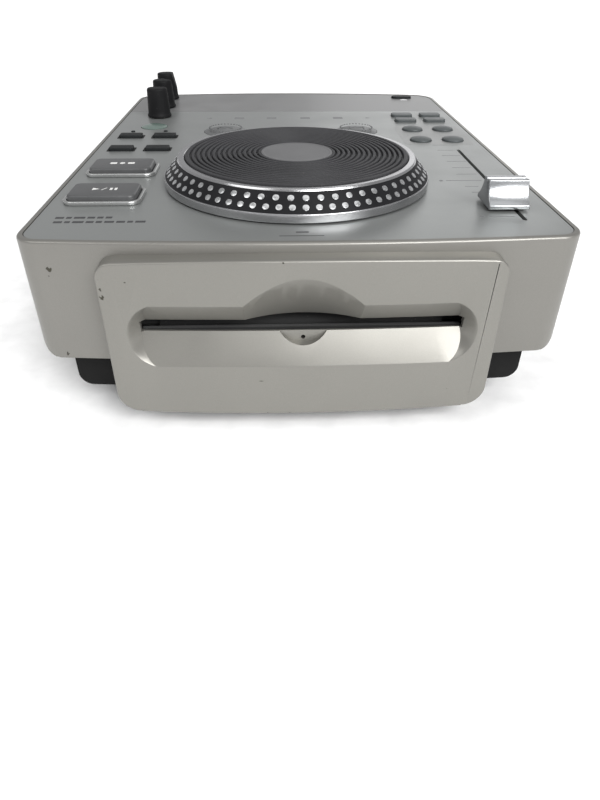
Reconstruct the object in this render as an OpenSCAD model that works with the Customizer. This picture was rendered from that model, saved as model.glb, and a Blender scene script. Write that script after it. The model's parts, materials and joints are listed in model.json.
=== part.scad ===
// Tabletop disc deck with a front loading slot, a strobe-dotted jog platter and a pitch fader.
// Origin: centre of the overall footprint on the standing surface. +X right, +Y back, +Z up.
// Places on the deck are given by x and by f, the distance behind the front edge line.

/* [Body] */
// Width of the silver body
body_w = 216; // [212:1:262]
// Depth of the silver body at its sides
body_d = 289; // [280:1:350]
// Height of the deck surface above the table
deck_h = 80; // [78:1:96]
// Height of the silver side walls
side_h = 50; // [48:1:54]
// Wall thickness of the silver cover
wall = 2.4; // [1.8:0.1:3.2]
// Radius of the front upright corners
front_corner_r = 10; // [8:1:14]
// Radius of the rear upright corners
rear_corner_r = 16; // [12:1:20]
// Radius of the lower side edges
lower_r = 9; // [6:1:11]
// Forward bow of the front face at its middle
front_bow = 4.8; // [2:0.2:7]
// Rearward bow of the back face at its middle
rear_bow = 9; // [4:0.5:12]
// Thickness of the deck panel and the display window
panel_t = 2; // [1.6:0.1:2.6]
// Depth of the deck surface below the rim
panel_drop = 0.2; // [0.1:0.1:0.6]
// Width of the ledge that carries the panel
ledge_w = 5; // [3:0.5:6]
// Depth of the smoked display band at its sides
band_d = 58.5; // [50:0.5:62]

/* [Chassis] */
// Inset of the black chassis from the silver body
chassis_inset = 10; // [9.5:0.1:12]
// Height of the rubber feet
foot_h = 10; // [7:0.5:11]
// Radius of a rubber foot
foot_r = 12; // [9:0.5:14]
// Wall thickness of the chassis
chassis_t = 2.5; // [2:0.1:3.2]
// Radius of the lower chassis edges
chassis_r = 6; // [3:0.5:8]
// Radius of the assembly screws
screw_r = 1.5; // [1.2:0.1:1.8]

/* [Bezel] */
// Width of the slot bezel
bezel_w = 153.6; // [150:0.2:160]
// Distance from the deck surface down to the bezel's top edge
bezel_top_drop = 3.6; // [3:0.1:6]
// Height of the bezel at its middle
bezel_h = 68.3; // [66:0.1:70]
// How far the bezel stands out from the body
bezel_t = 8; // [7:0.5:10]
// Corner radius at the top of the bezel
bezel_top_r = 6; // [4:0.5:8]
// Corner radius at the bottom of the bezel
bezel_low_r = 9; // [6:0.5:10]
// Length of the recess around the slot
recess_w = 137; // [134:0.5:142]
// Height of the recess around the slot
recess_h = 26.7; // [24:0.1:28]
// Thickness left behind the deepest part of the recess
recess_floor_t = 1; // [0.8:0.1:2]
// Width of the disc slot
slot_w = 128; // [125:0.5:132]
// Height of the disc slot
slot_h = 5; // [4.6:0.1:5.4]
// Distance from the deck surface down to the middle of the slot
slot_drop = 33.3; // [32.3:0.1:34.3]

/* [Platter] */
// Radius of the platter rim
platter_r = 60.8; // [52:0.1:61.5]
// Distance from the front edge line to the platter's axis
platter_f = 75; // [70:0.5:78]
// Gap between the platter and the deck
platter_gap = 0.5; // [0.4:0.1:1.5]
// Height of the polished rim above the deck
rim_top = 4.1; // [3.6:0.1:5]
// Height of the polished top ring above the deck
ring_top = 11; // [9.5:0.1:12]
// Radial run of the dotted cone
cone_run = 6; // [4:0.1:7]
// Width of the polished top ring
ring_w = 3.6; // [3:0.1:5]
// Thickness of the ribbed rubber mat
mat_t = 1.9; // [1.5:0.1:2.5]
// Number of ribs on the mat
mat_ribs = 14; // [10:1:16]
// Radius of the smooth centre disc
centre_r = 16.4; // [14:0.1:20]
// Radius of the jog shaft
shaft_r = 4; // [3:0.1:5]
// Radial clearance of running shafts
run_gap = 0.05; // [0.02:0.01:0.08]

/* [Controls] */
// Width of the play and cue keys
big_key_w = 29; // [27:0.5:33]
// Depth of the play and cue keys
big_key_d = 18.5; // [16:0.5:20]
// Height of the play and cue keys above the deck
big_key_h = 3.8; // [3.2:0.1:4.5]
// Height of the silver frames around the play and cue keys
frame_h = 1.8; // [1.2:0.1:2]
// Width of the silver frames
frame_w = 1.4; // [1.2:0.1:2.4]
// Height of the small keys above the deck
key_h = 1.6; // [1.4:0.1:2.2]
// Travel of every key
key_travel = 1; // [0.6:0.1:1.2]
// Gap around every key
key_gap = 0.3; // [0.25:0.05:0.4]
// Knob height above the deck
knob_h = 17; // [15:0.5:20]
// Radius of a knob at its foot
knob_r = 7; // [6:0.1:7.5]
// Radius of the knob shafts
knob_shaft_r = 3; // [2.5:0.1:3.2]
// Length of the fader's slot
fader_slot_l = 111; // [108:0.5:116]
// Travel of the fader
fader_travel = 100; // [95:1:102]
// Width of the fader cap
fader_cap_w = 17; // [15:0.5:18]
// Length of the fader cap
fader_cap_l = 18; // [16:0.5:20]
// Height of the fader cap
fader_cap_h = 10.6; // [9.6:0.1:11.6]

/* [Hidden] */
$fn = 48;
eps = 0.01;

// Frame: the footprint runs from the bezel face to the rear bow.
front_y = -(body_d + rear_bow - front_bow - bezel_t) / 2;
function fy(f) = front_y + f;
half_w = body_w / 2;

// Bowed faces: arcs through the side lines, tangent to the corner circles.
function bow_r(bow) = (half_w * half_w + bow * bow) / (2 * bow);
front_r = bow_r(front_bow);
rear_r = bow_r(rear_bow);
front_arc_y = fy(0) - front_bow + front_r;
rear_arc_y = fy(body_d) + rear_bow - rear_r;
function tangent_y(arc_r, corner_r) = sqrt(pow(arc_r - corner_r, 2) - pow(half_w - corner_r, 2));
front_cy = front_arc_y - tangent_y(front_r, front_corner_r);
rear_cy = rear_arc_y + tangent_y(rear_r, rear_corner_r);
arc_fn = 1440;

// Levels.
side_z = deck_h - side_h;
deck_z = deck_h - panel_drop;
panel_z = deck_z - panel_t;
fit_gap = 0.3;
band_f = body_d - band_d;
cover_gap = chassis_inset - fit_gap;

// Control board and what stands on it.
switch_h = 4;
board_t = 1.6;
key_foot_z = panel_z - fit_gap - 0.6;
board_top_z = key_foot_z - key_travel - fit_gap - switch_h;
board_z = board_top_z - board_t;
flange_t = 0.6;
flange_w = 0.8;

// Slot and disc drive.
slot_z = deck_h - slot_drop;
drive_half_w = 70;
drive_top_z = slot_z + 8.4;
drive_low_z = slot_z - 12.3;
drive_t = 1.5;
drive_f = 4;
drive_l = platter_f + 68 - drive_f;
roller_r = 4;
roller_gap = 0.3;
roller_z = slot_z - slot_h / 2 - roller_gap - roller_r;
roller_f = drive_f + 7;
roller_shaft_r = 1.5;
rod_r = 1.5;
rod_z = drive_low_z + 5;
rod_spread = 26;
sled_l = 14;
hub_r = 14;

// Bezel.
bezel_top_z = deck_h - bezel_top_drop;
bezel_low_z = bezel_top_z - bezel_h;
bezel_crown = 1.3;
recess_t = bezel_t - recess_floor_t;
recess_z = slot_z - 1.7;
scoop_top_z = deck_h - 10.7;
scoop_h = scoop_top_z - slot_z - slot_h / 2 + 1;
scoop_slope = 0.64;
scoop_depth = scoop_slope * scoop_h;
scoop_r = 35.6;
scoop_wall = 1.4;
scoop_open_z = scoop_top_z - (bezel_t - scoop_wall) / scoop_slope + fit_gap;
scoop_half = sqrt(pow(scoop_r + scoop_depth + scoop_wall, 2) - pow(scoop_r + bezel_t, 2)) + fit_gap;
end_slope = 0.8;
notch_r = 11.3;
notch_rise = 3.6;
pin_drop = 5.6;
pin_r = 0.9;
face_y = fy(0) - front_bow - bezel_t;

// Chassis.
chassis_z = foot_h;
chassis_top_z = side_z + 4;
boss_x = 77;
boss_r = 3.6;
boss_front_f = 18;
boss_rear_f = band_f - 6;
boss_spots = [[-boss_x, boss_front_f], [boss_x, boss_front_f], [-boss_x, boss_rear_f], [boss_x, boss_rear_f]];
boss_split_z = side_z;
foot_x = half_w - 28;
foot_spots = [[-foot_x, 40], [foot_x, 40], [-foot_x, body_d - 40], [foot_x, body_d - 40]];

// Rear connectors.
rear_f = body_d - 9;
rear_t = 1.5;
rear_z = side_z + 23;
rear_open_w = 168;
rear_open_h = 26;
rear_lap = 4;
rca_spots = [-30, -12, 14];
rca_r = 4.2;
rocker_x = 62;
inlet_x = -62;
inlet_w = 20;
inlet_h = 14;
rocker_w = 10.4;
rocker_l = 18;
rocker_gap = 0.6;
rocker_pin_r = 1.2;
rocker_tilt = 7;
rocker_y = fy(rear_f) - 2.5;

// Places of the controls.
left_col = -half_w + 15.5;
left_col_in = left_col + 19.2;
left_big = -half_w + 24.6;
right_col = half_w - 34.4;
right_col_out = half_w - 16;
key_spots = [
    [left_big, 49.5], [left_big, 90],
    [left_col, 131.3], [left_col_in, 131.3], [left_col, 159.8], [left_col_in, 159.8],
    [left_big + 0.2, 185.8], [-39, 173], [39, 173],
    [right_col, 149.5], [right_col_out, 149.5], [right_col, 175.8], [right_col_out, 175.8],
    [right_col, 199.6], [right_col_out, 199.6], [right_col, 214.6], [right_col_out, 214.6],
    [half_w - 23.6, body_d - 10.4]
];
play_at = 0;
cue_at = 1;
left_at = 2;
mode_at = 6;
skip_at = 7;
right_at = 9;
eject_at = 17;
left_key_size = [12.6, 7.2];
right_key_size = [13.2, 7.6];
eject_size = [14.4, 7];
mode_r = 7.8;
skip_r = 12.5;
round_key_r = 6;
knob_spots = [[-half_w + 24, band_f - 16], [-half_w + 23, band_f + 15], [-half_w + 21.6, band_f + 45.5]];
knob_turns = [90, 40, 0];
knob_foot_z = deck_z + 0.6;
pot_size = [10, 10, 5];
fader_x = half_w - 18.2;
fader_f = 17.5;
fader_slot_w = 1.9;
lever_l = 4;
lever_w = 1.3;
fader_mid = fader_f + fader_slot_l / 2;
fader_rest = 36.5;
fader_cap_x = fader_x - 3.7;
fader_body_l = fader_slot_l + 16;
fader_body_w = 9;
fader_body_h = panel_z - board_top_z - fit_gap;
fader_wall = 1;
display_x = 8;
display_size = [128, 44, 5];

module at(x, f, z) translate([x, fy(f), z]) children();

// ---- outlines ----

// One bowed end: two corner circles and the arc that is tangent to them.
module bowed_end(arc_y, arc_r, corner_y, corner_r, inset) {
    corner_x = half_w - corner_r;
    reach = (arc_r + corner_r) / (arc_r - corner_r);
    out_y = arc_y + (corner_y - arc_y) * reach;
    for (s = [-1, 1]) translate([s * corner_x, corner_y]) circle(corner_r - inset);
    intersection() {
        translate([0, arc_y]) circle(arc_r - inset, $fn = arc_fn);
        polygon([
            [-corner_x, corner_y], [corner_x, corner_y],
            [corner_x * reach, out_y], [-corner_x * reach, out_y]
        ]);
    }
}

// The body's plan, moved inwards by inset.
module plan_outline(inset) {
    translate([-half_w + inset, front_cy]) square([body_w - 2 * inset, rear_cy - front_cy]);
    bowed_end(front_arc_y, front_r, front_cy, front_corner_r, inset);
    bowed_end(rear_arc_y, rear_r, rear_cy, rear_corner_r, inset);
}

// A rectangle with rounded corners about its centre.
module round_rect(w, d, r) {
    square([w - 2 * r, d], center = true);
    square([w, d - 2 * r], center = true);
    for (x = [-1, 1], y = [-1, 1])
        translate([x * (w / 2 - r), y * (d / 2 - r)]) circle(r);
}

// An upright section with rounded lower corners, run along the whole depth.
module lower_rounded(half, low, high, r) {
    translate([0, fy(body_d / 2), 0]) rotate([90, 0, 0])
        linear_extrude(body_d + 80, center = true) {
            translate([-half, low + r]) square([2 * half, high - low - r]);
            translate([-half + r, low]) square([2 * (half - r), r + eps]);
            for (s = [-1, 1]) translate([s * (half - r), low + r]) circle(r);
        }
}

// The body's volume, moved inwards by inset, between two levels.
module body_block(inset, low, high, r) {
    intersection() {
        translate([0, 0, low]) linear_extrude(high - low) plan_outline(inset);
        lower_rounded(half_w - inset, low, high + 1, r);
    }
}

// ---- housing ----

module slot_cut(w, h, depth) {
    translate([-w / 2, face_y - 1, slot_z - h / 2]) cube([w, depth + 1, h]);
}

module top_cover() {
    color("silver") difference() {
        union() {
            difference() {
                body_block(0, side_z, deck_h, lower_r);
                body_block(wall, side_z + wall, panel_z - 2, lower_r - wall);
                translate([0, 0, side_z - 1]) linear_extrude(wall + 2) plan_outline(cover_gap);
                translate([0, 0, panel_z - 3]) linear_extrude(4) plan_outline(wall + ledge_w);
                translate([0, 0, panel_z]) linear_extrude(panel_t + 2) plan_outline(wall);
            }
            rear_frame();
        }
        slot_cut(slot_w + 6, slot_h + 4.4, bezel_t + front_bow + wall + 8);
        translate([-scoop_half, face_y + bezel_t - 1, slot_z])
            cube([2 * scoop_half, wall + 4, scoop_open_z - slot_z]);
        pin_hole(pin_r + 0.7);
        translate([-rear_open_w / 2, fy(rear_f) - 5, rear_z - rear_open_h / 2])
            cube([rear_open_w, 60, rear_open_h]);
    }
}

// Flat seat inside the rear wall for the connector panel.
module rear_frame() {
    seat_w = rear_open_w + 4 * rear_lap;
    seat_h = rear_open_h + 2 * rear_lap;
    intersection() {
        body_block(eps, side_z, deck_h - 1, lower_r);
        translate([-seat_w / 2, fy(rear_f), rear_z - seat_h / 2]) cube([seat_w, 60, seat_h]);
    }
}

module board_bosses(z) {
    for (p = boss_spots) at(p[0], p[1], z) children();
}

module deck_panel() {
    color("darkgray") difference() {
        union() {
            intersection() {
                translate([0, 0, panel_z]) linear_extrude(panel_t) plan_outline(wall + fit_gap);
                at(-half_w, -50, 0) cube([body_w, band_f + 50 - fit_gap / 2, deck_h]);
            }
            board_bosses(boss_split_z) cylinder(h = panel_z - boss_split_z + eps, r = boss_r);
        }
        board_bosses(boss_split_z - 1) cylinder(h = 13, r = screw_r);
        at(0, platter_f, panel_z - 1) cylinder(h = panel_t + 2, r = bearing_r);
        key_holes();
        knob_hole(0);
        at(fader_x, fader_mid, panel_z - 1) linear_extrude(panel_t + 2)
            round_rect(fader_slot_w, fader_slot_l, fader_slot_w / 2 - eps);
    }
}

module display_window() {
    color("dimgray") difference() {
        intersection() {
            translate([0, 0, panel_z]) linear_extrude(panel_t) plan_outline(wall + fit_gap);
            at(-half_w, band_f + fit_gap / 2, 0) cube([body_w, band_d + 50, deck_h]);
        }
        for (i = [1, 2]) knob_hole(i);
        at(key_spots[eject_at][0], key_spots[eject_at][1], panel_z - 1) linear_extrude(panel_t + 2)
            round_rect(eject_size[0] + 2 * key_gap, eject_size[1] + 2 * key_gap, eject_size[1] / 2);
    }
}

module display_module() {
    color("darkslategray")
        at(display_x - display_size[0] / 2, band_f + 6, board_top_z) cube(display_size);
}

module bezel_outline() {
    mid_z = bezel_low_z + bezel_h / 2;
    crown_r = (bezel_w * bezel_w / 4 + bezel_crown * bezel_crown) / (2 * bezel_crown);
    intersection() {
        union() {
            translate([-bezel_w / 2, bezel_low_z + bezel_low_r + bezel_crown])
                square([bezel_w, bezel_h - bezel_top_r - bezel_low_r - 2 * bezel_crown]);
            translate([-bezel_w / 2 + bezel_low_r, bezel_low_z])
                square([bezel_w - 2 * bezel_low_r, bezel_h / 2]);
            translate([-bezel_w / 2 + bezel_top_r, mid_z])
                square([bezel_w - 2 * bezel_top_r, bezel_h / 2]);
            for (s = [-1, 1]) {
                translate([s * (bezel_w / 2 - bezel_low_r), bezel_low_z + bezel_low_r + bezel_crown])
                    circle(bezel_low_r);
                translate([s * (bezel_w / 2 - bezel_top_r), bezel_top_z - bezel_top_r - bezel_crown])
                    circle(bezel_top_r);
            }
        }
        translate([0, bezel_low_z + crown_r]) circle(crown_r, $fn = arc_fn);
        translate([0, bezel_top_z - crown_r]) circle(crown_r, $fn = arc_fn);
    }
}

module front_bezel() {
    color("silver") difference() {
        union() {
            intersection() {
                translate([0, fy(20), 0]) rotate([90, 0, 0]) linear_extrude(60) bezel_outline();
                difference() {
                    bezel_slab(front_r + bezel_t);
                    bezel_slab(front_r);
                }
            }
            intersection() {
                finger_scoop(scoop_wall);
                translate([-scoop_r, face_y + bezel_t - 1.5, slot_z + slot_h / 2])
                    cube([2 * scoop_r, scoop_depth + scoop_wall, scoop_h]);
            }
        }
        intersection() {
            recess_ends();
            recess_valley();
        }
        slot_cut(slot_w, slot_h, bezel_t + 9);
        finger_scoop(0);
        pin_notch();
        pin_hole(pin_r);
    }
}

// Recess outline whose round ends narrow towards the slot.
module recess_ends() {
    end_r = recess_h / 2;
    straight = recess_w - 2 * end_r;
    sag = recess_w * recess_w / 8 / (front_r + bezel_t);
    mouth_r = end_r + end_slope * (sag + 1);
    translate([-straight / 2, face_y - 1, recess_z - end_r]) cube([straight, recess_t + 9, recess_h]);
    for (s = [-1, 1]) translate([s * straight / 2, face_y - 1, recess_z]) rotate([-90, 0, 0])
        cylinder(h = end_r + 3, r1 = mouth_r, r2 = mouth_r - end_slope * (end_r + 3));
}

// Blind half-round pocket under the slot, around the release hole.
module pin_notch() {
    intersection() {
        translate([0, face_y - 1, slot_z + notch_rise]) rotate([-90, 0, 0])
            cylinder(h = bezel_t + 0.4, r = notch_r);
        translate([-notch_r, face_y - 2, slot_z - notch_r]) cube([2 * notch_r, bezel_t + 3, notch_r]);
    }
}

module pin_hole(r) {
    translate([0, face_y - 1, slot_z - pin_drop]) rotate([-90, 0, 0]) cylinder(h = bezel_t + 12, r = r);
}

// Ring with two sloping walls that meet at the slot.
module recess_valley() {
    face_r = front_r + bezel_t;
    run = recess_t + 1;
    top_slope = (recess_z + recess_h / 2 - slot_z - slot_h / 2) / recess_t;
    low_slope = (slot_z - slot_h / 2 - recess_z + recess_h / 2) / recess_t;
    translate([0, front_arc_y, 0]) rotate_extrude($fn = arc_fn) polygon([
        [face_r - recess_t, slot_z - slot_h / 2], [face_r + 1, slot_z - slot_h / 2 - low_slope * run],
        [face_r + 1, slot_z + slot_h / 2 + top_slope * run], [face_r - recess_t, slot_z + slot_h / 2]
    ]);
}

module bezel_slab(r) {
    translate([0, front_arc_y, bezel_low_z - 5]) cylinder(h = bezel_h + 10, r = r, $fn = arc_fn);
}

// Cone-shaped cut above the slot that bares the disc's edge.
module finger_scoop(extra) {
    translate([0, face_y - scoop_r, scoop_top_z - scoop_h])
        cylinder(h = scoop_h, r1 = scoop_r + scoop_depth + extra, r2 = scoop_r + extra);
}

module dust_seal() {
    lip_h = 2;
    seal_y = fy(0) - front_bow + 2.6;
    color("black") difference() {
        for (s = [-1, 1])
            translate([-slot_w / 2, seal_y, slot_z + s * (slot_h / 2 + lip_h / 2 + 0.1) - lip_h / 2])
                cube([slot_w, 2, lip_h]);
        finger_scoop(scoop_wall + fit_gap);
    }
}

module bottom_chassis() {
    color("#18181a") difference() {
        union() {
            difference() {
                chassis_block(chassis_inset, chassis_z, chassis_r);
                chassis_block(chassis_inset + chassis_t, chassis_z + chassis_t, chassis_r - chassis_t);
            }
            intersection() {
                at(-boss_x + 8, -front_bow, chassis_z)
                    cube([2 * boss_x - 16, chassis_inset + front_bow + chassis_t, side_z - fit_gap - chassis_z]);
                translate([0, front_arc_y, 0]) cylinder(h = deck_h, r = front_r, $fn = arc_fn);
            }
            board_bosses(chassis_z) cylinder(h = boss_split_z - chassis_z, r = boss_r + 1);
        }
        board_bosses(chassis_z - 1) cylinder(h = deck_h, r = screw_r + 0.2);
        board_bosses(chassis_z - 1) cylinder(h = 4, r = 2 * screw_r + 0.4);
        for (i = [-5 : 5]) at(12 * i - 2, 190, chassis_z - 1) cube([4, 50, chassis_t + 2]);
    }
}

module chassis_block(inset, low, r) {
    intersection() {
        translate([0, 0, low]) linear_extrude(chassis_top_z - low + 1) plan_outline(inset);
        lower_rounded(half_w - inset, low, chassis_top_z, r);
        translate([-half_w, -body_d, 0]) cube([body_w, 2 * body_d, chassis_top_z]);
    }
}

module rubber_feet() {
    color("#101010") for (p = foot_spots) at(p[0], p[1], 0)
        rotate_extrude() polygon([[0, 0], [foot_r - 1.5, 0], [foot_r, 1.5], [foot_r, foot_h], [0, foot_h]]);
}

module case_screws() {
    head_t = 1.6;
    color("gray") board_bosses(chassis_z + 3 - head_t) {
        cylinder(h = head_t, r = 2 * screw_r);
        cylinder(h = boss_split_z + 8 - chassis_z, r = screw_r);
    }
}

// ---- rear connectors ----

module rear_panel() {
    panel_w = rear_open_w + 2 * rear_lap;
    panel_h = rear_open_h + 2 * rear_lap;
    color("#202022") difference() {
        translate([-panel_w / 2, fy(rear_f) - rear_t, rear_z - panel_h / 2]) cube([panel_w, rear_t, panel_h]);
        for (x = rca_spots) rear_bore(x, rca_r + fit_gap);
        rear_box(inlet_x, inlet_w + 2 * fit_gap, inlet_h + 2 * fit_gap);
        rear_box(rocker_x, rocker_w + 3.2, rocker_l + 4.4);
    }
}

module rear_bore(x, r) {
    translate([x, fy(rear_f) - 5, rear_z]) rotate([-90, 0, 0]) cylinder(h = 10, r = r);
}

module rear_box(x, w, h) {
    translate([x - w / 2, fy(rear_f) - 5, rear_z - h / 2]) cube([w, 10, h]);
}

module rca_jacks() {
    color("gold") for (x = rca_spots)
        translate([x, fy(rear_f) - 10, rear_z]) rotate([-90, 0, 0]) difference() {
            union() {
                cylinder(h = 18, r = rca_r);
                translate([0, 0, 10]) cylinder(h = 1.2, r = rca_r + 1.8);
                cylinder(h = 8, r = rca_r + 1);
            }
            translate([0, 0, 10]) cylinder(h = 9, r = 1.6);
        }
}

module power_inlet() {
    color("#141414") translate([inlet_x, fy(rear_f), rear_z]) difference() {
        union() {
            translate([-inlet_w / 2, -14, -inlet_h / 2]) cube([inlet_w, 14, inlet_h]);
            translate([-inlet_w / 2 - 3, 0, -inlet_h / 2 - 3]) cube([inlet_w + 6, 2, inlet_h + 6]);
        }
        translate([-inlet_w / 2 + 2, -10, -inlet_h / 2 + 2]) cube([inlet_w - 4, 13, inlet_h - 4]);
    }
}

module rocker_housing() {
    wide = rocker_w + 2.8;
    tall = rocker_l + 4;
    color("#141414") translate([rocker_x, rocker_y, rear_z]) difference() {
        union() {
            translate([-wide / 2, -12, -tall / 2]) cube([wide, 14.5, tall]);
            translate([-wide / 2 - 1.5, 2.5, -tall / 2 - 1.5]) cube([wide + 3, 1.5, tall + 3]);
        }
        translate([-rocker_w / 2 - rocker_gap / 2, -10, -rocker_l / 2 - rocker_gap])
            cube([rocker_w + rocker_gap, 15, rocker_l + 2 * rocker_gap]);
        rotate([0, 90, 0]) cylinder(h = wide + 1, r = rocker_pin_r + run_gap, center = true);
    }
}

module power_rocker() {
    color("#0c0c0c") translate([rocker_x, rocker_y, rear_z]) rotate([rocker_tilt, 0, 0]) {
        rotate([0, 90, 0]) cylinder(h = rocker_w + 2, r = rocker_pin_r, center = true);
        for (s = [0, 1]) mirror([0, 0, s]) intersection() {
            translate([-rocker_w / 2, -4, 0]) cube([rocker_w, 12, rocker_l / 2]);
            rotate([rocker_tilt, 0, 0]) translate([-rocker_w, -8, -2]) cube([2 * rocker_w, 13, rocker_l]);
            rotate([0, 90, 0]) cylinder(h = 2 * rocker_w, r = rocker_l / 2, center = true);
        }
    }
}

// ---- platter ----

ring_r = platter_r - 0.4 - cone_run;
mat_r = ring_r - ring_w;
hub_top = ring_top - 0.4;
bearing_r = shaft_r + 5;
skirt_in = platter_r - 4;

module lathe(f = platter_f) at(0, f, deck_z) rotate_extrude($fn = 128) children();

module platter() {
    color("gainsboro") lathe() difference() {
        polygon([
            [shaft_r, platter_gap + 1.2], [14, platter_gap + 1.2], [16, hub_top - 4],
            [skirt_in - cone_run, hub_top - 4], [skirt_in, platter_gap + 3], [skirt_in, platter_gap],
            [platter_r - 0.6, platter_gap], [platter_r, platter_gap + 0.6], [platter_r, rim_top - 0.6],
            [platter_r - 0.6, rim_top], [platter_r - 0.9, rim_top], [ring_r - 0.5, ring_top - 0.1],
            [ring_r, ring_top], [ring_r - 0.8, ring_top + 0.9], [mat_r + 0.6, ring_top + 0.9],
            [mat_r, ring_top + 0.4], [mat_r, hub_top], [shaft_r, hub_top]
        ]);
    }
}

module strobe_band() {
    color("#101012") lathe() polygon([
        [platter_r - 0.9, rim_top], [platter_r - 0.4, rim_top], [ring_r, ring_top - 0.1],
        [ring_r - 0.5, ring_top - 0.1]
    ]);
}

module slipmat() {
    rib_pitch = (mat_r - 2.5 - centre_r - 1.2) / mat_ribs;
    groove_d = 0.7;
    color("#2a2a2c") lathe() difference() {
        translate([0, hub_top]) square([mat_r - 0.1, mat_t]);
        for (i = [0 : mat_ribs - 1])
            translate([centre_r + 1.2 + i * rib_pitch, hub_top + mat_t - groove_d])
                square([rib_pitch * 0.45, groove_d + 1]);
        translate([0, hub_top + 0.6]) square([centre_r + 0.05, mat_t]);
    }
}

module centre_disc() {
    color("#555558") lathe() polygon([
        [0, hub_top + 0.6], [centre_r, hub_top + 0.6], [centre_r, hub_top + mat_t - 0.2],
        [centre_r - 0.4, hub_top + mat_t + 0.1], [0, hub_top + mat_t + 0.1]
    ]);
}

encoder_z = board_z - 4.5;
encoder_r = 22;

module jog_shaft() {
    color("lightgray") at(0, platter_f, encoder_z - 1) cylinder(h = deck_z + hub_top - encoder_z + 1, r = shaft_r);
}

module jog_bearing() {
    low = board_z - 1.5;
    color("goldenrod") at(0, platter_f, 0) difference() {
        union() {
            translate([0, 0, low]) cylinder(h = deck_z - low, r = bearing_r);
            translate([0, 0, panel_z - 2]) cylinder(h = 2, r = bearing_r + 5);
        }
        translate([0, 0, low - 1]) cylinder(h = deck_h, r = shaft_r + run_gap);
    }
}

module encoder_disc() {
    color("dimgray") at(0, platter_f, encoder_z) difference() {
        cylinder(h = 1, r = encoder_r);
        translate([0, 0, -1]) cylinder(h = 3, r = shaft_r);
        for (i = [0 : 23]) rotate(i * 15) translate([encoder_r - 4, -0.8, -1]) cube([3, 1.6, 3]);
    }
}

module encoder_sensor() {
    color("black") at(0, platter_f, 0) difference() {
        translate([-3, encoder_r - 5, encoder_z - 2.4]) cube([6, 8.4, board_z - encoder_z + 2.4]);
        translate([-4, encoder_r - 6, encoder_z - 0.8]) cube([8, 7, 2.6]);
    }
}

// ---- keys ----

module key_foot(w, d, r) {
    translate([0, 0, key_foot_z]) linear_extrude(flange_t) round_rect(w + 2 * flange_w, d + 2 * flange_w, r + flange_w);
}

// A key through the deck, with its retaining flange under the panel.
module rect_key(i, w, d, r, h) {
    at(key_spots[i][0], key_spots[i][1], 0) {
        key_foot(w, d, r);
        translate([0, 0, key_foot_z]) linear_extrude(deck_z + h - key_foot_z) round_rect(w, d, r);
    }
}

module round_key(i, r, h) {
    dome_r = 3 * r;
    at(key_spots[i][0], key_spots[i][1], 0) {
        translate([0, 0, key_foot_z]) cylinder(h = flange_t, r = r + flange_w);
        intersection() {
            translate([0, 0, key_foot_z]) cylinder(h = deck_z + h - key_foot_z, r = r);
            translate([0, 0, deck_z + h - dome_r]) sphere(dome_r, $fn = 96);
        }
    }
}

module key_holes() {
    module hole(i) at(key_spots[i][0], key_spots[i][1], panel_z - 1) linear_extrude(panel_t + 2) children();
    g = 2 * key_gap;
    for (i = [play_at, cue_at]) hole(i) round_rect(big_key_w + g, big_key_d + g, 3 + key_gap);
    for (i = [left_at : left_at + 3])
        hole(i) round_rect(left_key_size[0] + g, left_key_size[1] + g, 1 + key_gap);
    hole(mode_at) circle(mode_r + key_gap);
    for (i = [skip_at, skip_at + 1]) hole(i) circle(skip_r + key_gap);
    for (i = [right_at : right_at + 3]) hole(i) circle(round_key_r + key_gap);
    for (i = [right_at + 4 : right_at + 7])
        hole(i) round_rect(right_key_size[0] + g, right_key_size[1] + g, 2 + key_gap);
}

module big_key(i) color("#3a3c3f") rect_key(i, big_key_w, big_key_d, 3, big_key_h);
module left_key(n) color("#2c2e30") rect_key(left_at + n, left_key_size[0], left_key_size[1], 1, key_h);
module right_key(n) color("#3f4245") if (n < 4) round_key(right_at + n, round_key_r, key_h + 0.4);
    else rect_key(right_at + n, right_key_size[0], right_key_size[1], 2, key_h);

module play_key() big_key(play_at);
module cue_key() big_key(cue_at);
module mode_key() color("#5d6a66") round_key(mode_at, mode_r, key_h);
module skip_key(n) color("#55585a") round_key(skip_at + n, skip_r, key_h + 0.6);
module eject_key() color("#303236") rect_key(eject_at, eject_size[0], eject_size[1], 3.4, 1.2);

module key_frames() {
    color("silver") for (i = [play_at, cue_at])
        at(key_spots[i][0], key_spots[i][1], deck_z) linear_extrude(frame_h) difference() {
            round_rect(big_key_w + 2 * frame_w + 1, big_key_d + 2 * frame_w + 1, 5);
            round_rect(big_key_w + 2 * key_gap, big_key_d + 2 * key_gap, 3 + key_gap);
        }
}

module key_switches() {
    color("#222222") for (p = key_spots) at(p[0], p[1], board_top_z) {
        translate([-3, -3, 0]) cube([6, 6, switch_h - 0.6]);
        cylinder(h = switch_h, r = 1.75);
    }
}

// ---- knobs and fader ----

module knob_hole(i) {
    at(knob_spots[i][0], knob_spots[i][1], panel_z - 1) cylinder(h = panel_t + 2, r = knob_shaft_r + 1);
}

// Tapered knob with a flaring foot and one slanted flank.
module knob(i) {
    height = deck_z + knob_h - knob_foot_z;
    color("#0e0e10") at(knob_spots[i][0], knob_spots[i][1], knob_foot_z) rotate(knob_turns[i]) difference() {
        rotate_extrude() polygon([
            [0, 0], [knob_r + 0.5, 0], [knob_r + 0.5, 0.8], [knob_r, 2], [knob_r - 0.7, height - 0.6],
            [knob_r - 1.3, height], [0, height]
        ]);
        translate([0, 0, -1]) cylinder(h = height - 3, r = knob_shaft_r);
        translate([knob_shaft_r + 1.2, -knob_r - 2, height]) rotate([0, 75, 0]) cube([height, 2 * knob_r + 4, 20]);
    }
}

module pot_shaft(i) {
    color("silver") at(knob_spots[i][0], knob_spots[i][1], board_top_z + 1)
        cylinder(h = deck_z + knob_h - 6 - board_top_z, r = knob_shaft_r);
}

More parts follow.
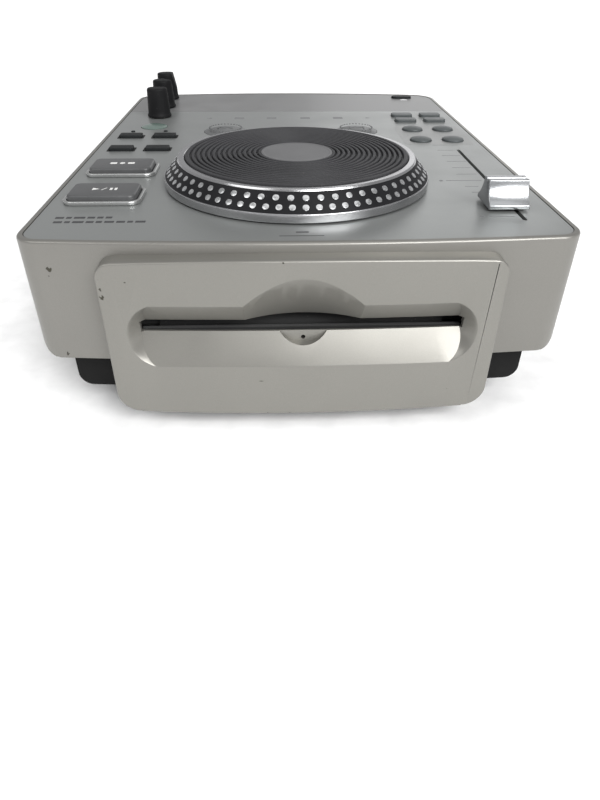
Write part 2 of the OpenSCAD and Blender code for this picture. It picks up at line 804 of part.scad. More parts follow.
module pot_bodies() {
    color("#4a4a40") for (p = knob_spots) at(p[0], p[1], board_top_z) difference() {
        translate([-pot_size[0] / 2, -pot_size[1] / 2, 0]) cube(pot_size);
        translate([0, 0, 0.9]) cylinder(h = pot_size[2] + 2, r = knob_shaft_r + run_gap);
    }
}

module fader_body() {
    color("#b8b4a8") at(fader_x, fader_mid, board_top_z) difference() {
        translate([-fader_body_w / 2, -fader_body_l / 2, 0]) cube([fader_body_w, fader_body_l, fader_body_h]);
        translate([-fader_body_w / 2 + fader_wall, -fader_slot_l / 2, fader_wall])
            cube([fader_body_w - 2 * fader_wall, fader_slot_l, fader_body_h - 2 * fader_wall]);
        translate([-fader_slot_w / 2, -fader_slot_l / 2, fader_body_h - 2])
            cube([fader_slot_w, fader_slot_l, 4]);
    }
}

module fader_lever() {
    slider_h = fader_body_h - 2 * fader_wall - 0.6;
    color("lightgray") at(fader_x, fader_rest, board_top_z + fader_wall + 0.3) {
        translate([-fader_body_w / 2 + fader_wall + 0.3, -lever_l / 2, 0])
            cube([fader_body_w - 2 * fader_wall - 0.6, lever_l, slider_h]);
        translate([-lever_w / 2, -lever_l / 2, 0])
            cube([lever_w, lever_l, deck_z + 6 - board_top_z - fader_wall]);
    }
}

module fader_cap() {
    lip_h = 1.8;
    hollow_r = 11;
    top_half = 3.4;
    rise = fader_cap_h - lip_h;
    run = fader_cap_l / 2 - top_half;
    chord = sqrt(rise * rise + run * run);
    reach = sqrt(hollow_r * hollow_r - chord * chord / 4) / chord;
    hollow_at = [(fader_cap_l / 2 + top_half) / 2 + reach * rise, (fader_cap_h + lip_h) / 2 + reach * run];
    color("lightgray") at(fader_cap_x, fader_rest, deck_z + 0.8) difference() {
        rotate([90, 0, 90]) linear_extrude(fader_cap_w, center = true) difference() {
            translate([-fader_cap_l / 2, 0]) square([fader_cap_l, fader_cap_h]);
            for (s = [-1, 1]) translate([s * hollow_at[0], hollow_at[1]]) circle(hollow_r, $fn = 96);
        }
        translate([fader_x - fader_cap_x - lever_w / 2, -lever_l / 2, -1]) cube([lever_w, lever_l, 6.5]);
    }
}

// ---- boards ----

module control_board() {
    board_in = wall + ledge_w + 1;
    color("darkgreen") difference() {
        translate([0, 0, board_z]) linear_extrude(board_t) difference() {
            plan_outline(board_in);
            translate([0, fy(platter_f)]) circle(encoder_r - 6);
            for (p = boss_spots) translate([p[0], fy(p[1])]) circle(boss_r + fit_gap);
            translate([-half_w, fy(rear_f - 8)]) square([body_w, 100]);
        }
    }
}

module main_board() {
    z = chassis_z + chassis_t + 4;
    color("darkgreen") {
        at(-4, band_f - 70, z) cube([66, 98, board_t]);
        at(8, band_f - 60, z + board_t) cube([18, 18, 2]);
        at(36, band_f - 40, z + board_t) cube([14, 20, 2]);
        for (x = [0, 58], f = [-66, 24]) at(x, band_f + f, chassis_z + chassis_t) cylinder(h = 4, r = 2.5);
    }
}

module power_supply() {
    z = chassis_z + chassis_t + 4;
    color("peru") {
        at(-70, band_f - 70, z) cube([58, 98, board_t]);
        at(-60, band_f - 55, z + board_t) cube([36, 30, 24]);
        for (i = [0 : 2]) at(-60 + 16 * i, band_f - 2, z + board_t) cylinder(h = 16, r = 5);
        for (x = [-66, -16], f = [-66, 24]) at(x, band_f + f, chassis_z + chassis_t) cylinder(h = 4, r = 2.5);
    }
}

// ---- slot-loading disc drive ----

module drive_frame() {
    color("lightsteelblue") difference() {
        union() {
            at(-drive_half_w, drive_f, drive_low_z) cube([2 * drive_half_w, drive_l, drive_t]);
            for (s = [-1, 1]) at(s * (drive_half_w - drive_t / 2) - drive_t / 2, drive_f, drive_low_z)
                cube([drive_t, drive_l, drive_top_z - drive_low_z]);
            at(-drive_half_w, drive_f, drive_top_z - drive_t) cube([2 * drive_half_w, drive_l, drive_t]);
            for (f = [platter_f + hub_r + 3, drive_f + drive_l - 4])
                at(-rod_spread / 2 - 4, f, drive_low_z) cube([rod_spread + 8, 3, rod_z - drive_low_z + 3]);
            for (s = [-1, 1]) at(s * rod_spread / 2, platter_f + hub_r + 4, rod_z) rotate([-90, 0, 0])
                cylinder(h = drive_f + drive_l - 2 - platter_f - hub_r - 4, r = rod_r);
            for (x = [-60, 60], f = [20, 120]) at(x, f, chassis_z + chassis_t)
                cylinder(h = drive_low_z - chassis_z - chassis_t, r = 4);
        }
        at(0, roller_f, roller_z) rotate([0, 90, 0])
            cylinder(h = 3 * drive_half_w, r = roller_shaft_r + run_gap, center = true);
    }
}

module disc_hub() {
    color("#333338") at(0, platter_f, slot_z - slot_h / 2 - roller_gap) rotate([180, 0, 0]) {
        cylinder(h = 2, r = hub_r);
        cylinder(h = 6, r = 1.5);
    }
}

module hub_motor() {
    top = slot_z - slot_h / 2 - roller_gap - 3;
    color("gray") at(0, platter_f, 0) difference() {
        translate([0, 0, drive_low_z + drive_t]) cylinder(h = top - drive_low_z - drive_t, r = 11);
        translate([0, 0, top - 4]) cylinder(h = 5, r = 1.5 + run_gap);
    }
}

module pickup_sled() {
    wide = rod_spread + 8;
    color("#2e3138") at(0, platter_f + hub_r + 3 + 3 + fit_gap, rod_z) difference() {
        union() {
            translate([-wide / 2, 0, -3]) cube([wide, sled_l, 5.4]);
            translate([0, sled_l / 2, 2.4]) cylinder(h = 1.4, r = 4);
        }
        for (s = [-1, 1]) translate([s * rod_spread / 2, -1, 0]) rotate([-90, 0, 0])
            cylinder(h = sled_l + 2, r = rod_r + run_gap);
    }
}

module feed_roller() {
    color("#1d1d1f") at(0, roller_f, roller_z) rotate([0, 90, 0]) {
        cylinder(h = slot_w - 10, r = roller_r, center = true);
        cylinder(h = 2 * drive_half_w + 3, r = roller_shaft_r, center = true);
    }
}

top_cover();
deck_panel();
display_window();
display_module();
front_bezel();
dust_seal();
bottom_chassis();
rubber_feet();
case_screws();
rear_panel();
rca_jacks();
power_inlet();
rocker_housing();
power_rocker();
platter();
strobe_band();
slipmat();
centre_disc();
jog_shaft();
jog_bearing();
encoder_disc();
encoder_sensor();
knob(0);  // knob_1
knob(1);  // knob_2
knob(2);  // knob_3
pot_shaft(0);  // pot_shaft_1
pot_shaft(1);  // pot_shaft_2
pot_shaft(2);  // pot_shaft_3
pot_bodies();
key_frames();
fader_cap();
fader_lever();
fader_body();
play_key();
cue_key();
left_key(0);  // left_key_1
left_key(1);  // left_key_2
left_key(2);  // left_key_3
left_key(3);  // left_key_4
mode_key();
skip_key(0);  // skip_back_key
skip_key(1);  // skip_next_key
right_key(0);  // right_key_1
right_key(1);  // right_key_2
right_key(2);  // right_key_3
right_key(3);  // right_key_4
right_key(4);  // right_key_5
right_key(5);  // right_key_6
right_key(6);  // right_key_7
right_key(7);  // right_key_8
eject_key();
key_switches();
control_board();
main_board();
power_supply();
drive_frame();
disc_hub();
hub_motor();
pickup_sled();
feed_roller();
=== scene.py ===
"""Builds the look of a slot-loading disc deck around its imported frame."""

import json  # noqa: E402
import logging  # noqa: E402
import math  # noqa: E402
from collections.abc import Callable, Iterator, Sequence  # noqa: E402
from contextlib import contextmanager  # noqa: E402
from dataclasses import dataclass  # noqa: E402
from enum import Enum  # noqa: E402

import bmesh  # noqa: E402
import bpy  # noqa: E402
from mathutils import Matrix, Vector  # noqa: E402

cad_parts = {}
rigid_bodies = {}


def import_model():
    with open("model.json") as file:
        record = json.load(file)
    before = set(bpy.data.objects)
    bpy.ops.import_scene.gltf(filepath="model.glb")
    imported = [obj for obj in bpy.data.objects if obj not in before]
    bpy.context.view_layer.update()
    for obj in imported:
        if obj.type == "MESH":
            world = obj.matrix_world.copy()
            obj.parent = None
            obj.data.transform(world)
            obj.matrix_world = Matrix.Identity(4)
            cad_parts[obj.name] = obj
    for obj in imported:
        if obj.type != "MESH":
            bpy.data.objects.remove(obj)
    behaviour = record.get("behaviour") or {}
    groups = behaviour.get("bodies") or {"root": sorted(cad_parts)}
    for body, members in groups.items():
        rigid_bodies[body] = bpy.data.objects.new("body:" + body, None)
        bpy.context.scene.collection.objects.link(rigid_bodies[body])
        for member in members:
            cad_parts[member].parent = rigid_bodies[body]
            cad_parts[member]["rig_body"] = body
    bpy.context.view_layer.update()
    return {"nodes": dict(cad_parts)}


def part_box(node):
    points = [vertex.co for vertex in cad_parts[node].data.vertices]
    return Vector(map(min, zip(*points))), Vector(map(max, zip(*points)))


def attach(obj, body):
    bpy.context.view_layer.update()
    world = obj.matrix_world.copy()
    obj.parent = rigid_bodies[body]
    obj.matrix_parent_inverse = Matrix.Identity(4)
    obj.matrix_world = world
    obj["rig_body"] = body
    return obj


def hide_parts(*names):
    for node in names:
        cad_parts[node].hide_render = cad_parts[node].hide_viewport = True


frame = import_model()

LOG = logging.getLogger("disc_deck")
MM = 0.001
WELD = 1e-6
TURN = 2 * math.pi
HOUSING = "housing"
Pair = tuple[float, float]
Triple = tuple[float, float, float]


# ---------------------------------------------------------------- selection and edit mode


def pick(piece: bpy.types.Object) -> None:
    """Leaves one piece selected and active, in object mode.

    Args:
        piece: The piece to work on.
    """
    if bpy.context.object is not None and bpy.context.object.mode != "OBJECT":
        bpy.ops.object.mode_set(mode="OBJECT")
    bpy.ops.object.select_all(action="DESELECT")
    piece.select_set(True)
    bpy.context.view_layer.objects.active = piece


@contextmanager
def editing(piece: bpy.types.Object) -> Iterator[None]:
    """Holds a piece in edit mode with all of it selected.

    Args:
        piece: The piece to edit.

    Yields:
        Nothing; the edit operators act on the piece inside the block.
    """
    pick(piece)
    bpy.ops.object.mode_set(mode="EDIT")
    bpy.ops.mesh.select_all(action="SELECT")
    yield
    bpy.ops.object.mode_set(mode="OBJECT")


def select_edges(piece: bpy.types.Object, wanted: Callable[[bmesh.types.BMEdge], bool]) -> int:
    """Selects only the edges that a test accepts, in edit mode.

    Args:
        piece: The piece in edit mode.
        wanted: Says whether an edge is selected.

    Returns:
        How many edges are selected.
    """
    bpy.ops.mesh.select_mode(type="EDGE")
    bpy.ops.mesh.select_all(action="DESELECT")
    work = bmesh.from_edit_mesh(piece.data)
    chosen = [edge for edge in work.edges if wanted(edge)]
    for edge in chosen:
        edge.select = True
    bmesh.update_edit_mesh(piece.data)
    return len(chosen)


def select_faces(piece: bpy.types.Object, wanted: Callable[[bmesh.types.BMFace], bool]) -> int:
    """Selects only the faces that a test accepts, in edit mode.

    Args:
        piece: The piece in edit mode.
        wanted: Says whether a face is selected.

    Returns:
        How many faces are selected.
    """
    bpy.ops.mesh.select_mode(type="FACE")
    bpy.ops.mesh.select_all(action="DESELECT")
    work = bmesh.from_edit_mesh(piece.data)
    chosen = [face for face in work.faces if wanted(face)]
    for face in chosen:
        face.select = True
    bmesh.update_edit_mesh(piece.data)
    return len(chosen)


def middle(edge: bmesh.types.BMEdge) -> Vector:
    """Returns the middle point of an edge."""
    return (edge.verts[0].co + edge.verts[1].co) / 2


def is_sharp(edge: bmesh.types.BMEdge, degrees: float = 28.0) -> bool:
    """Says whether two faces meet at an edge by more than an angle.

    Args:
        edge: The edge.
        degrees: The angle between the two face normals.

    Returns:
        True for a sharp edge between two faces.
    """
    return len(edge.link_faces) == 2 and edge.calc_face_angle(0.0) > math.radians(degrees)


def smooth(piece: bpy.types.Object, degrees: float = 30.0) -> None:
    """Shades a piece smooth up to an angle.

    Args:
        piece: The piece.
        degrees: Edges sharper than this stay crisp.
    """
    pick(piece)
    bpy.ops.object.shade_smooth_by_angle(angle=math.radians(degrees), keep_sharp_edges=False)


def soften(
    piece: bpy.types.Object,
    width: float,
    segments: int = 3,
    wanted: Callable[[bmesh.types.BMEdge], bool] | None = None,
    degrees: float = 28.0,
) -> None:
    """Rounds the sharp edges of a piece.

    Args:
        piece: The piece.
        width: Width of the rounding, in metres.
        segments: Steps across the rounding.
        wanted: Narrows the edges down; all sharp edges when left out.
        degrees: The angle from which an edge is sharp.
    """
    with editing(piece):
        count = select_edges(
            piece, lambda edge: is_sharp(edge, degrees) and (wanted is None or wanted(edge))
        )
        if count:
            bpy.ops.mesh.bevel(offset=width, segments=segments, profile=0.5, clamp_overlap=False)
            bpy.ops.mesh.select_all(action="SELECT")
            bpy.ops.mesh.remove_doubles(threshold=WELD)


def apply_modifier(piece: bpy.types.Object, kind: str, **settings: object) -> None:
    """Adds a modifier to a piece and applies it.

    Args:
        piece: The piece.
        kind: The modifier's type.
        **settings: Values set on the modifier.
    """
    pick(piece)
    modifier = piece.modifiers.new(kind.title(), kind)
    for key, value in settings.items():
        setattr(modifier, key, value)
    bpy.ops.object.modifier_apply(modifier=modifier.name)


# ---------------------------------------------------------------- shapes


def cad_copy(node: str, name: str) -> bpy.types.Object:
    """Copies a CAD node's mesh into a new piece and welds it.

    Args:
        node: The CAD node.
        name: The new piece's name.

    Returns:
        The new piece.
    """
    piece = bpy.data.objects.new(name, frame["nodes"][node].data.copy())
    bpy.context.scene.collection.objects.link(piece)
    piece.data.materials.clear()
    pick(piece)
    if piece.data.has_custom_normals:
        bpy.ops.mesh.customdata_custom_splitnormals_clear()
    with editing(piece):
        bpy.ops.mesh.remove_doubles(threshold=WELD)
        bpy.ops.mesh.dissolve_limited(angle_limit=math.radians(0.2))
    return piece


def chain(name: str, points: Sequence[Triple]) -> bpy.types.Object:
    """Draws a line of edges, one vertex extruded after the other.

    Args:
        name: The new piece's name.
        points: The line's points, in metres.

    Returns:
        The new piece, an open line.
    """
    bpy.ops.object.select_all(action="DESELECT")
    bpy.ops.mesh.primitive_plane_add(size=MM)
    piece = bpy.context.object
    piece.name = piece.data.name = name
    with editing(piece):
        bpy.ops.mesh.merge(type="CENTER")
        bpy.ops.mesh.select_mode(type="VERT")
        bpy.ops.mesh.select_all(action="SELECT")
        bpy.ops.transform.translate(value=points[0])
        for before, after in zip(points, points[1:]):
            step = tuple(b - a for a, b in zip(before, after))
            bpy.ops.mesh.extrude_region_move(TRANSFORM_OT_translate={"value": step})
    return piece


def spun(name: str, profile: Sequence[Pair], centre: Vector, steps: int) -> bpy.types.Object:
    """Turns a closed profile about an upright axis.

    Args:
        name: The new piece's name.
        profile: Radius and height pairs, in metres, in order round the section.
        centre: A point on the axis; heights are counted from it.
        steps: How many steps make the full turn.

    Returns:
        The new piece.
    """
    closed = [*profile, profile[0]]
    piece = chain(name, [(centre.x + r, centre.y, centre.z + z) for r, z in closed])
    with editing(piece):
        bpy.ops.mesh.spin(steps=steps, angle=TURN, center=tuple(centre), axis=(0, 0, 1))
        bpy.ops.mesh.select_all(action="SELECT")
        bpy.ops.mesh.remove_doubles(threshold=WELD)
        bpy.ops.mesh.dissolve_degenerate(threshold=WELD)
        bpy.ops.mesh.select_all(action="SELECT")
        bpy.ops.mesh.normals_make_consistent(inside=False)
    return piece


def plate(name: str, outline: Sequence[Pair], low: float, high: float) -> bpy.types.Object:
    """Raises a flat outline into a plate.

    Args:
        name: The new piece's name.
        outline: The outline's x and y pairs, in metres.
        low: Height of the underside.
        high: Height of the top.

    Returns:
        The new piece.
    """
    piece = chain(name, [(x, y, low) for x, y in outline])
    with editing(piece):
        bpy.ops.mesh.edge_face_add()
        bpy.ops.mesh.extrude_region_move(TRANSFORM_OT_translate={"value": (0, 0, high - low)})
        bpy.ops.mesh.select_all(action="SELECT")
        bpy.ops.mesh.normals_make_consistent(inside=False)
    return piece


def joined(name: str, pieces: Sequence[bpy.types.Object]) -> bpy.types.Object:
    """Joins pieces into one.

    Args:
        name: The joined piece's name.
        pieces: The pieces, at least one.

    Returns:
        The joined piece.
    """
    pick(pieces[0])
    for piece in pieces[1:]:
        piece.select_set(True)
    if len(pieces) > 1:
        bpy.ops.object.join()
    pieces[0].name = pieces[0].data.name = name
    return pieces[0]


def filleted(corners: Sequence[Triple], steps: int = 4) -> list[Pair]:
    """Rounds the corners of a closed outline.

    Args:
        corners: First coordinate, second coordinate and corner radius of each corner.
        steps: Steps across each rounded corner.

    Returns:
        The outline's points.
    """
    result: list[Pair] = []
    count = len(corners)
    for i, (x, y, radius) in enumerate(corners):
        here = Vector((x, y))
        back = Vector(corners[i - 1][:2]) - here
        ahead = Vector(corners[(i + 1) % count][:2]) - here
        if radius <= 0 or back.length < WELD or ahead.length < WELD:
            result.append((x, y))
            continue
        half = back.angle(ahead) / 2
        reach = min(radius / math.tan(half), 0.49 * back.length, 0.49 * ahead.length)
        start, end = here + back.normalized() * reach, here + ahead.normalized() * reach
        for k in range(steps + 1):
            t = k / steps
            point = start * (1 - t) ** 2 + here * 2 * t * (1 - t) + end * t**2
            result.append((point.x, point.y))
    return result


def rounded_box(x: float, y: float, width: float, depth: float, radius: float) -> list[Pair]:
    """Returns the outline of a box with rounded corners.

    Args:
        x: Middle of the box across.
        y: Middle of the box along.
        width: Size across.
        depth: Size along.
        radius: Corner radius.

    Returns:
        The outline's points.
    """
    w, d = width / 2, depth / 2
    corners = [(x - w, y - d, radius), (x + w, y - d, radius)]
    return filleted([*corners, (x + w, y + d, radius), (x - w, y + d, radius)])


def ring_of(x: float, y: float, radius: float, steps: int = 32) -> list[Pair]:
    """Returns the points of a circle.

    Args:
        x: The centre across.
        y: The centre along.
        radius: The circle's radius.
        steps: How many points it has.

    Returns:
        The circle's points.
    """
    angles = [TURN * i / steps for i in range(steps)]
    return [(x + radius * math.cos(a), y + radius * math.sin(a)) for a in angles]


# ---------------------------------------------------------------- finishes


class Tree:
    """A material's node tree, with short ways to add nodes and links."""

    def __init__(self, name: str) -> None:
        """Makes an empty material with a shader and an output.

        Args:
            name: The material's name.
        """
        self.material = bpy.data.materials.new(name)
        self.material.use_nodes = True
        self.nodes = self.material.node_tree.nodes
        self.links = self.material.node_tree.links
        self.nodes.clear()
        self.shader = self.nodes.new("ShaderNodeBsdfPrincipled")
        output = self.nodes.new("ShaderNodeOutputMaterial")
        self.links.new(self.shader.outputs[0], output.inputs["Surface"])
        self.place = self.nodes.new("ShaderNodeTexCoord").outputs["Object"]

    def put(self, socket: bpy.types.NodeSocket, value: object) -> None:
        """Sets a socket, or links it when the value is a socket.

        Args:
            socket: The input socket.
            value: A number, a colour, a vector or another node's output.
        """
        if isinstance(value, bpy.types.NodeSocket):
            self.links.new(value, socket)
        else:
            socket.default_value = value

    def centred(self, point: Vector, scale: Triple = (1, 1, 1)) -> bpy.types.NodeSocket:
        """Returns the place counted from a point.

        Args:
            point: The point, in metres.
            scale: Stretch along each axis.

        Returns:
            The moved coordinates.
        """
        node = self.nodes.new("ShaderNodeMapping")
        self.put(node.inputs["Vector"], self.place)
        node.inputs["Location"].default_value = tuple(-p * s for p, s in zip(point, scale))
        node.inputs["Scale"].default_value = scale
        return node.outputs[0]

    def math(self, operation: str, a: object, b: object = 0.0, c: object = 0.0) -> bpy.types.NodeSocket:
        """Adds a math node.

        Args:
            operation: The node's operation.
            a: First value or socket.
            b: Second value or socket.
            c: Third value or socket.

        Returns:
            The result.
        """
        node = self.nodes.new("ShaderNodeMath")
        node.operation = operation
        for socket, value in zip(node.inputs, (a, b, c)):
            self.put(socket, value)
        return node.outputs[0]

    def split(self, vector: bpy.types.NodeSocket) -> tuple[bpy.types.NodeSocket, ...]:
        """Returns the three parts of a vector.

        Args:
            vector: The vector.

        Returns:
            Its x, y and z.
        """
        node = self.nodes.new("ShaderNodeSeparateXYZ")
        self.put(node.inputs[0], vector)
        return tuple(node.outputs)

    def noise(
        self, scale: float, detail: float = 3.0, place: bpy.types.NodeSocket | None = None
    ) -> bpy.types.NodeSocket:
        """Adds a noise pattern.

        Args:
            scale: How many features fit in a metre.
            detail: How many finer layers it has.
            place: The coordinates it reads, the object's own when left out.

        Returns:
            The pattern, from 0 to 1.
        """
        node = self.nodes.new("ShaderNodeTexNoise")
        self.put(node.inputs["Vector"], place or self.place)
        node.inputs["Scale"].default_value = scale
        node.inputs["Detail"].default_value = detail
        return node.outputs[0]

    def spots(self, scale: float, place: bpy.types.NodeSocket | None = None) -> bpy.types.NodeSocket:
        """Adds a cell pattern and returns the distance to the nearest cell's middle.

        Args:
            scale: How many cells fit in a metre.
            place: The coordinates it reads, the object's own when left out.

        Returns:
            The distance.
        """
        node = self.nodes.new("ShaderNodeTexVoronoi")
        self.put(node.inputs["Vector"], place or self.place)
        node.inputs["Scale"].default_value = scale
        return node.outputs["Distance"]

    def span(
        self, value: bpy.types.NodeSocket, source: Pair, target: Pair
    ) -> bpy.types.NodeSocket:
        """Maps a span of values onto another, clamped.

        Args:
            value: The value.
            source: The span it is read over.
            target: The span it becomes.

        Returns:
            The mapped value.
        """
        node = self.nodes.new("ShaderNodeMapRange")
        for socket, given in zip(node.inputs, (value, *source, *target)):
            self.put(socket, given)
        return node.outputs[0]

    def mix(self, share: object, a: object, b: object) -> bpy.types.NodeSocket:
        """Mixes two colours.

        Args:
            share: How much of the second colour shows.
            a: First colour.
            b: Second colour.

        Returns:
            The mixed colour.
        """
        node = self.nodes.new("ShaderNodeMix")
        node.data_type = "RGBA"
        self.put(node.inputs["Factor"], share)
        for socket, value in zip((node.inputs[6], node.inputs[7]), (a, b)):
            self.put(socket, (*value, 1.0) if isinstance(value, tuple) else value)
        return node.outputs[2]

    def bump(self, height: bpy.types.NodeSocket, distance: float, strength: float = 1.0) -> None:
        """Sets the shader's surface relief.

        Args:
            height: The relief pattern.
            distance: The relief's depth, in metres.
            strength: How much of it shows.
        """
        node = self.nodes.new("ShaderNodeBump")
        node.inputs["Strength"].default_value = strength
        node.inputs["Distance"].default_value = distance
        self.put(node.inputs["Height"], height)
        self.put(self.shader.inputs["Normal"], node.outputs[0])


@dataclass(frozen=True)
class Finish:
    """A surface finish with a base colour."""

    name: str
    color: Triple
    roughness: float = 0.5

    def shade(self, tree: Tree) -> None:
        """Dresses the shader; each kind of finish has its own way.

        Args:
            tree: The material's tree.
        """
        raise NotImplementedError

    def material(self) -> bpy.types.Material:
        """Returns the finish as a material, made once."""
        known = bpy.data.materials.get(self.name)
        if known is not None:
            return known
        tree = Tree(self.name)
        self.shade(tree)
        return tree.material


@dataclass(frozen=True)
class Chip:
    """A place where the paint has come off."""

    at: Triple
    size: float
    stretch: Triple = (1, 1, 1)


@dataclass(frozen=True)
class SilverPaint(Finish):
    """Sprayed silver paint with fine flakes, handling marks and chips."""

    metallic: float = 0.75
    flake: float = 0.05
    chips: tuple[Chip, ...] = ()
    chip_color: Triple = (0.035, 0.032, 0.022)

    def shade(self, tree: Tree) -> None:
        """Dresses the shader with flakes, cloudiness and chips.

        Args:
            tree: The material's tree.
        """
        shader = tree.shader
        flakes = tree.span(tree.noise(4200.0, 2.0), (0.32, 0.68), (1 - self.flake, 1 + self.flake))
        cloud = tree.span(tree.noise(14.0, 4.0), (0.3, 0.7), (0.975, 1.02))
        tone = tree.math("MULTIPLY", flakes, cloud)
        dark = tuple(c * 0.8 for c in self.color)
        light = tuple(min(1.0, c * 1.2) for c in self.color)
        color = tree.mix(tree.span(tone, (0.8, 1.2), (0.0, 1.0)), dark, light)
        smudge = tree.span(tree.noise(38.0, 5.0), (0.35, 0.72), (0.0, 1.0))
        rough = tree.span(smudge, (0.0, 1.0), (self.roughness - 0.025, self.roughness + 0.05))
        metallic: object = self.metallic
        if self.chips:
            bare = self._bare(tree)
            color = tree.mix(bare, color, self.chip_color)
            rough = tree.math("MAXIMUM", rough, tree.math("MULTIPLY", bare, 0.75))
            metallic = tree.span(bare, (0.0, 1.0), (self.metallic, 0.0))
        tree.put(shader.inputs["Base Color"], color)
        tree.put(shader.inputs["Roughness"], rough)
        tree.put(shader.inputs["Metallic"], metallic)
        tree.bump(tree.noise(1500.0, 3.0), 0.00002, 0.35)

    def _bare(self, tree: Tree) -> bpy.types.NodeSocket:
        """Returns where the paint is off.

        Args:
            tree: The material's tree.

        Returns:
            1 in a chip and 0 elsewhere.
        """
        ragged = tree.span(tree.noise(900.0, 3.0), (0.25, 0.75), (-1.0, 1.0))
        bare = None
        for chip in self.chips:
            near = tree.nodes.new("ShaderNodeVectorMath")
            near.operation = "LENGTH"
            tree.put(near.inputs[0], tree.centred(Vector(chip.at), chip.stretch))
            reach = tree.math("MULTIPLY_ADD", ragged, chip.size * 0.75, near.outputs["Value"])
            mask = tree.span(reach, (chip.size * 0.85, chip.size), (1.0, 0.0))
            bare = mask if bare is None else tree.math("MAXIMUM", bare, mask)
        return bare


@dataclass(frozen=True)
class Moulded(Finish):
    """Moulded plastic or rubber with a fine grain and dust."""

    grain: float = 1600.0
    depth: float = 0.00003
    dust: float = 0.25
    coat: float = 0.0
    sheen: float = 0.0
    shine: float = 0.5

    def shade(self, tree: Tree) -> None:
        """Dresses the shader with grain, handling shine and dust.

        Args:
            tree: The material's tree.
        """
        shader = tree.shader
        worn = tree.span(tree.noise(60.0, 4.0), (0.3, 0.7), (0.0, 1.0))
        lighter = tuple(min(1.0, c * 1.35 + 0.004) for c in self.color)
        color = tree.mix(worn, self.color, lighter)
        specks = tree.span(tree.spots(420.0), (0.0, 0.12), (self.dust, 0.0))
        scatter = tree.span(tree.noise(90.0, 2.0), (0.5, 0.62), (0.0, 1.0))
        color = tree.mix(tree.math("MULTIPLY", specks, scatter), color, (0.35, 0.34, 0.32))
        tree.put(shader.inputs["Base Color"], color)
        rough = tree.span(worn, (0.0, 1.0), (self.roughness, min(1.0, self.roughness * 1.18)))
        tree.put(shader.inputs["Roughness"], rough)
        shader.inputs["Specular IOR Level"].default_value = self.shine
        shader.inputs["Coat Weight"].default_value = self.coat
        shader.inputs["Coat Roughness"].default_value = 0.12
        shader.inputs["Sheen Weight"].default_value = self.sheen
        tree.bump(tree.noise(self.grain, 3.0), self.depth, 0.6)


@dataclass(frozen=True)
class Turned(Finish):
    """Metal turned on a lathe, with fine rings about an upright axis."""

    axis: Triple = (0, 0, 0)
    rings: float = 5200.0
    depth: float = 0.000004

    def shade(self, tree: Tree) -> None:
        """Dresses the shader with tool rings and smears.

        Args:
            tree: The material's tree.
        """
        shader = tree.shader
        x, y, z = tree.split(tree.centred(Vector(self.axis)))
        radius = tree.math("SQRT", tree.math("ADD", tree.math("MULTIPLY", x, x), tree.math("MULTIPLY", y, y)))
        line = tree.nodes.new("ShaderNodeCombineXYZ")
        tree.put(line.inputs[0], radius)
        tree.put(line.inputs[1], z)
        ring = tree.noise(self.rings, 2.0, line.outputs[0])
        smear = tree.noise(45.0, 5.0)
        dull = tuple(c * 0.86 for c in self.color)
        tree.put(shader.inputs["Base Color"], tree.mix(tree.span(ring, (0.3, 0.7), (0, 1)), dull, self.color))
        rough = tree.math("ADD", tree.span(ring, (0.3, 0.7), (0.0, 0.08)), tree.span(smear, (0.35, 0.7), (self.roughness, self.roughness + 0.1)))
        tree.put(shader.inputs["Roughness"], rough)
        shader.inputs["Metallic"].default_value = 1.0
        tree.bump(ring, self.depth, 0.7)


@dataclass(frozen=True)
class Metal(Finish):
    """Plain metal with fine scratches along one axis."""

    along: Triple = (40.0, 2200.0, 2200.0)

    def shade(self, tree: Tree) -> None:
        """Dresses the shader with drawn scratches.

        Args:
            tree: The material's tree.
        """
        shader = tree.shader
        lines = tree.noise(1.0, 4.0, tree.centred(Vector((0, 0, 0)), self.along))
        dull = tuple(c * 0.78 for c in self.color)
        tree.put(shader.inputs["Base Color"], tree.mix(tree.span(lines, (0.3, 0.7), (0, 1)), dull, self.color))
        tree.put(shader.inputs["Roughness"], tree.span(lines, (0.3, 0.7), (self.roughness, self.roughness + 0.15)))
        shader.inputs["Metallic"].default_value = 1.0
        tree.bump(lines, 0.00001, 0.4)


@dataclass(frozen=True)
class Board(Finish):
    """A circuit board with solder mask over copper tracks."""

    def shade(self, tree: Tree) -> None:
        """Dresses the shader with tracks and pads.

        Args:
            tree: The material's tree.
        """
        shader = tree.shader
        brick = tree.nodes.new("ShaderNodeTexBrick")
        tree.put(brick.inputs["Vector"], tree.place)
        brick.inputs["Scale"].default_value = 120.0
        brick.inputs["Mortar Size"].default_value = 0.035
        tracks = tree.math("SUBTRACT", 1.0, brick.outputs["Fac"])
        pads = tree.span(tree.spots(260.0), (0.14, 0.18), (1.0, 0.0))
        lit = tuple(min(1.0, c * 2.2) for c in self.color)
        color = tree.mix(tree.math("SUBTRACT", 1.0, tracks), self.color, lit)
        color = tree.mix(pads, color, (0.62, 0.55, 0.38))
        tree.put(shader.inputs["Base Color"], color)
        tree.put(shader.inputs["Roughness"], tree.span(pads, (0.0, 1.0), (self.roughness, 0.25)))
        tree.bump(pads, 0.00005, 0.5)


@dataclass(frozen=True)
class Ink(Finish):
    """Screen-printed ink with thin spots."""

    under: Triple = (0.3, 0.3, 0.3)
    thin: float = 0.35

    def shade(self, tree: Tree) -> None:
        """Dresses the shader with an uneven print.

        Args:
            tree: The material's tree.
        """
        shader = tree.shader
        gaps = tree.span(tree.noise(1400.0, 3.0), (0.45, 0.75), (0.0, self.thin))
        tree.put(shader.inputs["Base Color"], tree.mix(gaps, self.color, self.under))
        tree.put(shader.inputs["Roughness"], tree.span(gaps, (0.0, 1.0), (self.roughness, self.roughness + 0.2)))
        tree.bump(tree.noise(2200.0, 2.0), 0.00001, 0.4)


# ---------------------------------------------------------------- palette


